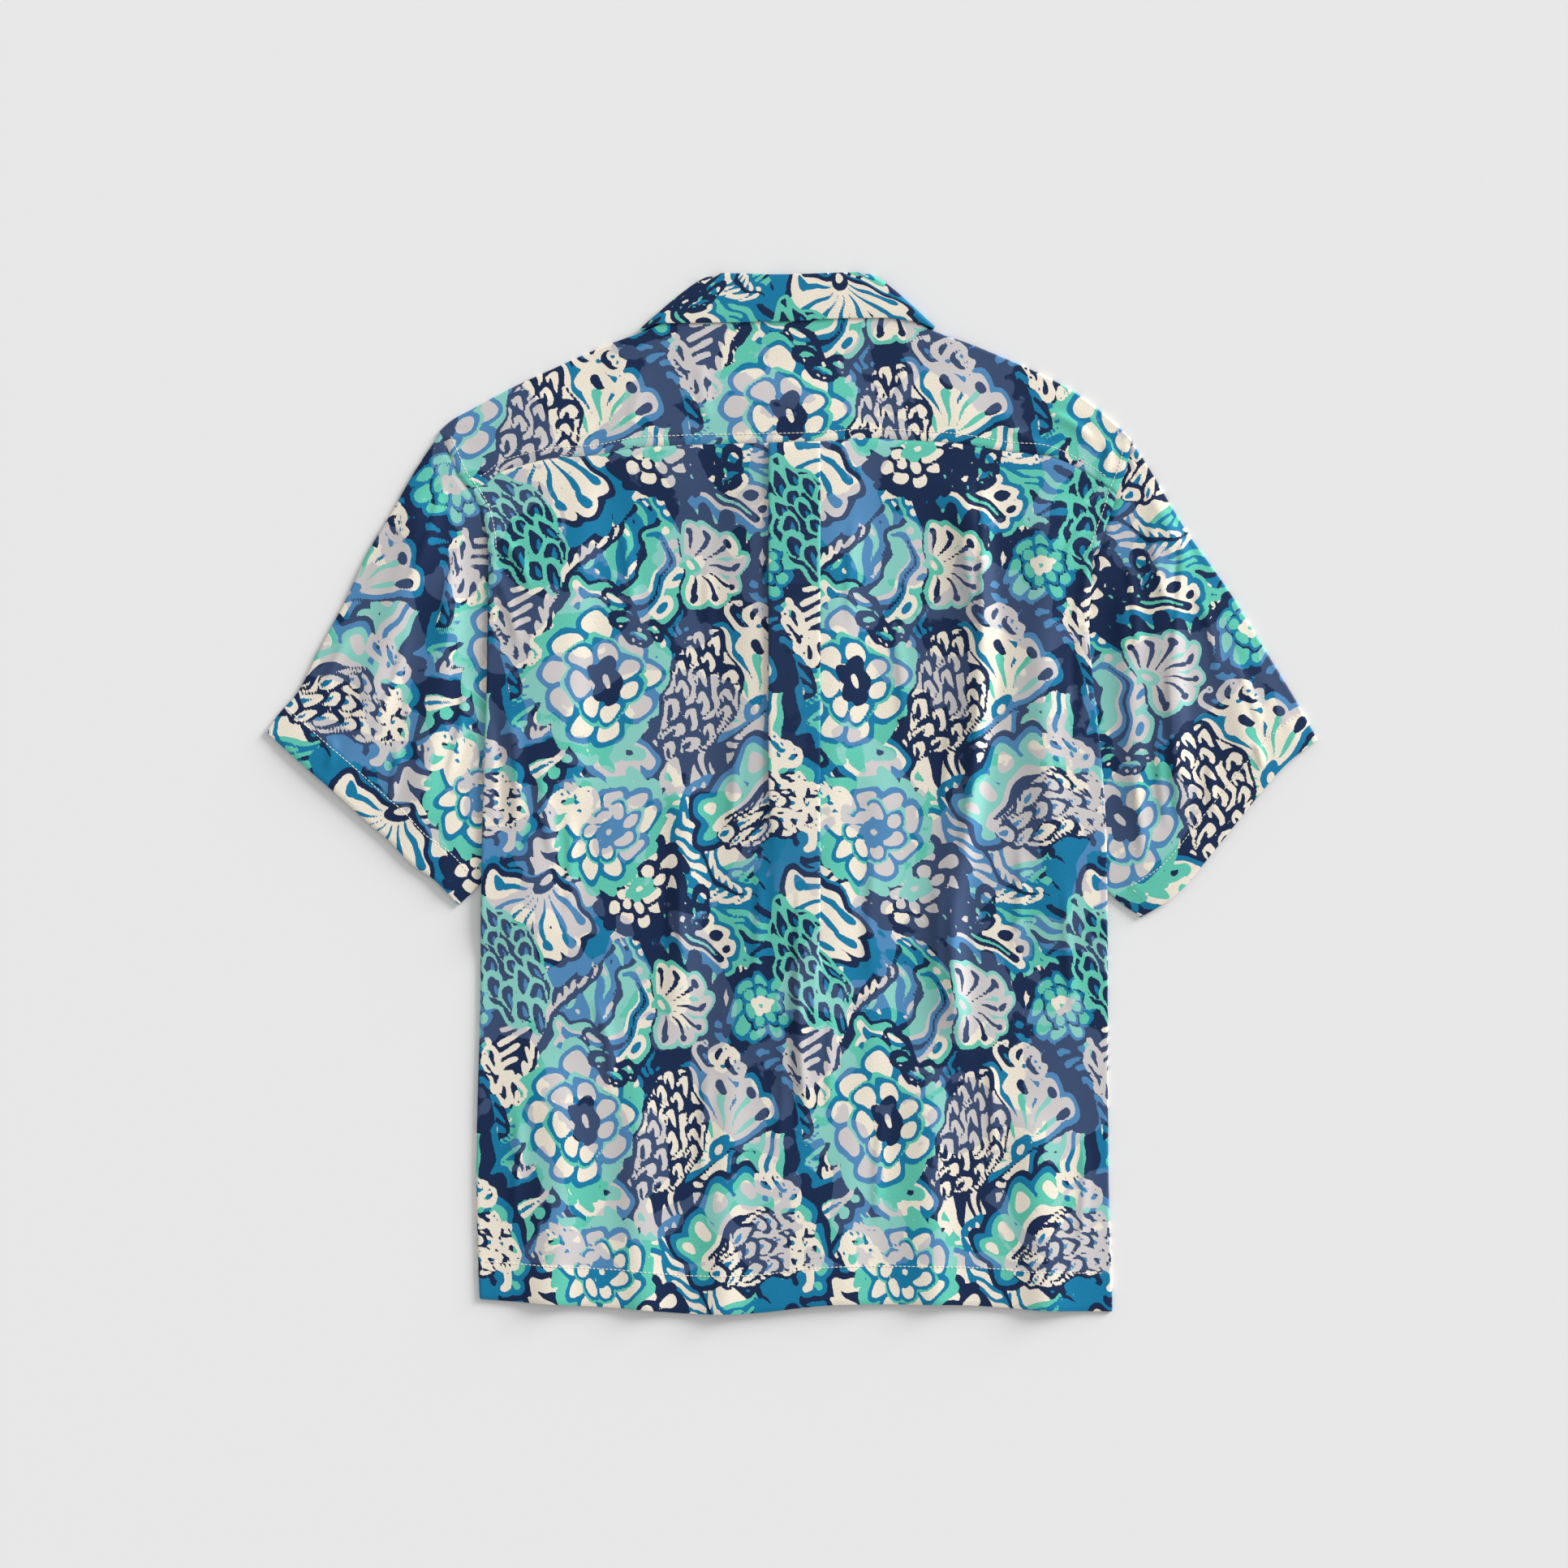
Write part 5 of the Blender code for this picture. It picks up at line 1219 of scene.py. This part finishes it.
def collar_piece():
    """Rings round the two plies, carried along the collar from one front end to the other."""
    bend = (LEAF_Z - FLOOR_LAYER) / 2
    knots = []          # roll x, roll y, edge x, edge y, height
    corner_at = {}      # the knot in the middle of each corner
    for row in COLLAR_FRONT:
        knots.append((*row, FLOOR_LAYER))
    for side, angles in (("left", np.arange(-90, 91, 30)), ("right", np.arange(90, -91, -30))):
        row, out = COLLAR_BEND[side], bend_way(COLLAR_BEND[side])
        corner_at[side] = len(knots) + len(angles) // 2
        for angle in np.radians(angles):
            shift = out * (CLOTH / 2 + bend * (1 - np.cos(angle)))
            knots.append((*(row - np.r_[shift, shift]), FLOOR_LAYER + bend + bend * np.sin(angle)))
        if side == "left":
            for row in COLLAR_BACK:
                knots.append((*row, LEAF_Z))
    for row in reversed(COLLAR_FRONT):
        knots.append((-row.roll_x, row.roll_y, -row.edge_x, row.edge_y, FLOOR_LAYER))
    knots = np.array(knots)
    steps = np.hypot(*np.diff(knots[:, 2:4], axis=0).T) + np.abs(np.diff(knots[:, 4])) \
        + np.hypot(*np.diff(knots[:, :2], axis=0).T)
    length = np.r_[0, np.cumsum(steps)]
    at = np.linspace(0, length[-1], spread(length[-1] / BOTH_EDGES, 1.6))
    sections = np.stack([np.interp(at, length, knots[:, k]) for k in range(5)], -1)
    rows, flats = [], []
    down = np.linspace(0, 1, 26)
    turn = half_turn(6)
    round_edge = turn[1:-1]
    half = COLLAR_PLY / 2
    for place, (roll_x, roll_y, edge_x, edge_y, z) in zip(at, sections):
        way = np.array([edge_x - roll_x, edge_y - roll_y])
        way_length = np.hypot(*way)
        way /= way_length
        leaf = np.array([roll_x, roll_y]) + way * (0.6 + (way_length - 1.1) * down[:, None])
        for side, corner in corner_at.items():
            near = math.exp(-((place - length[corner]) / CORNER_REACH) ** 2)
            bow = CORNER_BOW * near * np.sin(math.pi * down ** 0.55)
            leaf = leaf + bend_way(COLLAR_BEND[side]) * bow[:, None]
        thinner = PRESSED * np.exp(-((down - 1) / 0.10) ** 2)      # towards the pressed edge
        uneven = 0.10 * np.sin(place / 9.0 + 5 * down) * np.sin(math.pi * down)
        upper = np.c_[leaf, z + half - thinner + uneven]
        edge_round = np.c_[leaf[-1] + way * (half * np.cos(round_edge))[:, None],
                           z - PRESSED / 2 + (half - PRESSED / 2) * np.sin(round_edge)]
        lower = np.c_[leaf[::-1], np.full(len(down), z - half)]
        roll_round = np.c_[leaf[0] - way * (half * np.cos(round_edge))[:, None],
                           z - half * np.sin(round_edge)]
        ring_round = np.concatenate([roll_round, upper, edge_round, lower, roll_round[:1]])
        rows.append(ring_round)
        across = lengths_along(ring_round)
        flats.append(np.c_[np.full(len(ring_round), place / BOTH_EDGES), -across - COLLAR_DOWN])
    grid = np.array(rows).transpose(1, 0, 2)
    flat = np.array(flats).transpose(1, 0, 2)
    return lay_cloth("collar_cloth", "collar", grid, flat, plies=np.ones(grid.shape[:2]))


def collar_stand():
    """The band of the collar inside the neck, from under the roll to the neck seam."""
    roll = LAYER / 2
    knots = np.array([(row.roll_x, row.roll_y) for row in COLLAR_BACK])
    share = np.linspace(0, 1, spread(STAND_WIDE))
    x = knots[0, 0] + (knots[-1, 0] - knots[0, 0]) * share
    top = follow(knots[:, 0], knots[:, 1], x) - CLOTH / 2 - roll
    rows = []
    for angle in half_turn(7):
        height = STAND_Z + roll + roll * np.sin(angle)
        rows.append(np.c_[x, top + roll * np.cos(angle), np.full(len(x), height)])
    for g in np.linspace(0, 1, 16)[1:]:
        rows.append(np.c_[x * (1 + STAND_FLARE * g), top + (NECK_Y + 0.3 - top) * g,
                          np.full(len(x), STAND_Z)])
    grid = np.array(rows)
    down = np.broadcast_to(-np.arange(len(rows))[:, None] * 2.0 - 20, grid.shape[:2])
    flat = np.stack([grid[..., 0] + 40, down], -1)
    return lay_cloth("collar_stand_cloth", None, outer_side(grid[::-1]), flat[::-1])


collar_stand()
# the collar's two plies, joined along its outer edge
collar_piece()


# ---------------------------------------------------------------------------------------------------
# The buttons: five four-hole buttons turned from pale shell, under the left front's edge with their
# hollow faces down, each sewn on with cream thread crossed through its holes.

BUTTON_DEPTH = 2.2
HOLE_RADIUS, HOLE_OUT = 0.75, 1.45                      # each hole, and how far it is from the middle
HOLLOW_RADIUS, HOLLOW_SLOPE, HOLLOW = 2.9, 0.7, 0.6     # the hollow's floor, its sloped edge and its depth
RIM_ROUND, STRAND = 0.28, 0.32                          # the rounding of the rim, and half a strand's width
CORNER_ANGLE = math.radians(40)


def shell_finish():
    material = bpy.data.materials.new("pale_shell")
    material.use_nodes = True
    t = Tree(material.node_tree)
    shader = material.node_tree.nodes["Principled BSDF"]
    place = t.node("ShaderNodeTexCoord").outputs["Object"]
    cloud = t.noise(place, 260.0, 3.0, 0.55, 1.2).outputs["Fac"]
    colour = t.mix(t.soft(cloud, 0.35, 0.68), (0.70, 0.67, 0.60, 1), (0.84, 0.82, 0.77, 1))
    material.node_tree.links.new(colour, shader.inputs["Base Color"])
    shader.inputs["Roughness"].default_value = 0.22
    shader.inputs["Coat Weight"].default_value = 0.4
    return material


def turned_button():
    """One button at the origin, its hollow face down: a disc with a hollow, four holes and a round rim."""
    deselect()
    bpy.ops.mesh.primitive_cylinder_add(vertices=48, radius=BUTTON_RADIUS * MM, depth=BUTTON_DEPTH * MM,
                                        location=(0, 0, BUTTON_DEPTH / 2 * MM))
    made = bpy.context.object
    bpy.ops.object.transform_apply(location=True, rotation=False, scale=False)
    bpy.ops.object.mode_set(mode="EDIT")
    bpy.ops.mesh.select_all(action="DESELECT")
    bpy.ops.object.mode_set(mode="OBJECT")
    for face in made.data.polygons:
        face.select = face.normal.z < -0.9
    bpy.ops.object.mode_set(mode="EDIT")
    bpy.ops.mesh.inset(thickness=(BUTTON_RADIUS - HOLLOW_RADIUS - HOLLOW_SLOPE) * MM, depth=0)
    bpy.ops.mesh.inset(thickness=HOLLOW_SLOPE * MM, depth=-HOLLOW * MM)
    bpy.ops.object.mode_set(mode="OBJECT")
    for angle in math.tau * (np.arange(4) + 0.5) / 4:
        deselect()
        at = np.array([HOLE_OUT * math.cos(angle), HOLE_OUT * math.sin(angle), BUTTON_DEPTH / 2]) * MM
        bpy.ops.mesh.primitive_cylinder_add(vertices=16, radius=HOLE_RADIUS * MM, depth=3 * BUTTON_DEPTH * MM,
                                            location=at)
        hole = bpy.context.object
        drill = made.modifiers.new("hole", "BOOLEAN")
        drill.object, drill.operation, drill.solver = hole, "DIFFERENCE", "EXACT"
        deselect()
        made.select_set(True)
        bpy.context.view_layer.objects.active = made
        bpy.ops.object.modifier_apply(modifier=drill.name)
        bpy.data.objects.remove(hole, do_unlink=True)
    rim = made.modifiers.new("rim", "BEVEL")
    rim.width, rim.segments, rim.limit_method, rim.angle_limit = RIM_ROUND * MM, 3, "ANGLE", CORNER_ANGLE
    bpy.ops.object.modifier_apply(modifier=rim.name)
    bpy.ops.object.shade_smooth_by_angle(angle=CORNER_ANGLE)
    return made


def crossed_thread():
    """Two strands in each button's hollow, crossed between its holes."""
    strands = []
    for turn in (45, 135):
        deselect()
        bpy.ops.mesh.primitive_cylinder_add(vertices=10, radius=STRAND * MM, depth=2 * HOLE_OUT * MM,
                                            location=(0, 0, (HOLLOW - 0.6 * STRAND) * MM),
                                            rotation=(0, math.radians(90), math.radians(turn)))
        strand = bpy.context.object
        bpy.ops.object.transform_apply(location=True, rotation=True, scale=False)
        strand.data.materials.append(CREAM_THREAD)
        strands.append(strand)
    deselect()
    for strand in strands:
        strand.select_set(True)
    bpy.context.view_layer.objects.active = strands[0]
    bpy.ops.object.join()
    bpy.ops.object.shade_smooth_by_angle(angle=CORNER_ANGLE)
    return strands[0]


def copy_at(first, name, y):
    made = first.copy()
    made.data = first.data.copy()
    made.name = name
    for vertex in made.data.vertices:
        vertex.co.y += y * MM
    bpy.context.scene.collection.objects.link(made)
    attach(made, "root")
    return made


first_button, first_thread = turned_button(), crossed_thread()
first_button.data.materials.append(shell_finish())
for number in range(1, BUTTON_COUNT + 1):
    place_y = BUTTON_TOP - BUTTON_STEP * (number - 1)
    made = copy_at(first_button, f"shell_button_{number}", place_y)
    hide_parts(f"button_{number}")
    copy_at(first_thread, f"button_thread_{number}", place_y)
for first in (first_button, first_thread):
    bpy.data.objects.remove(first, do_unlink=True)
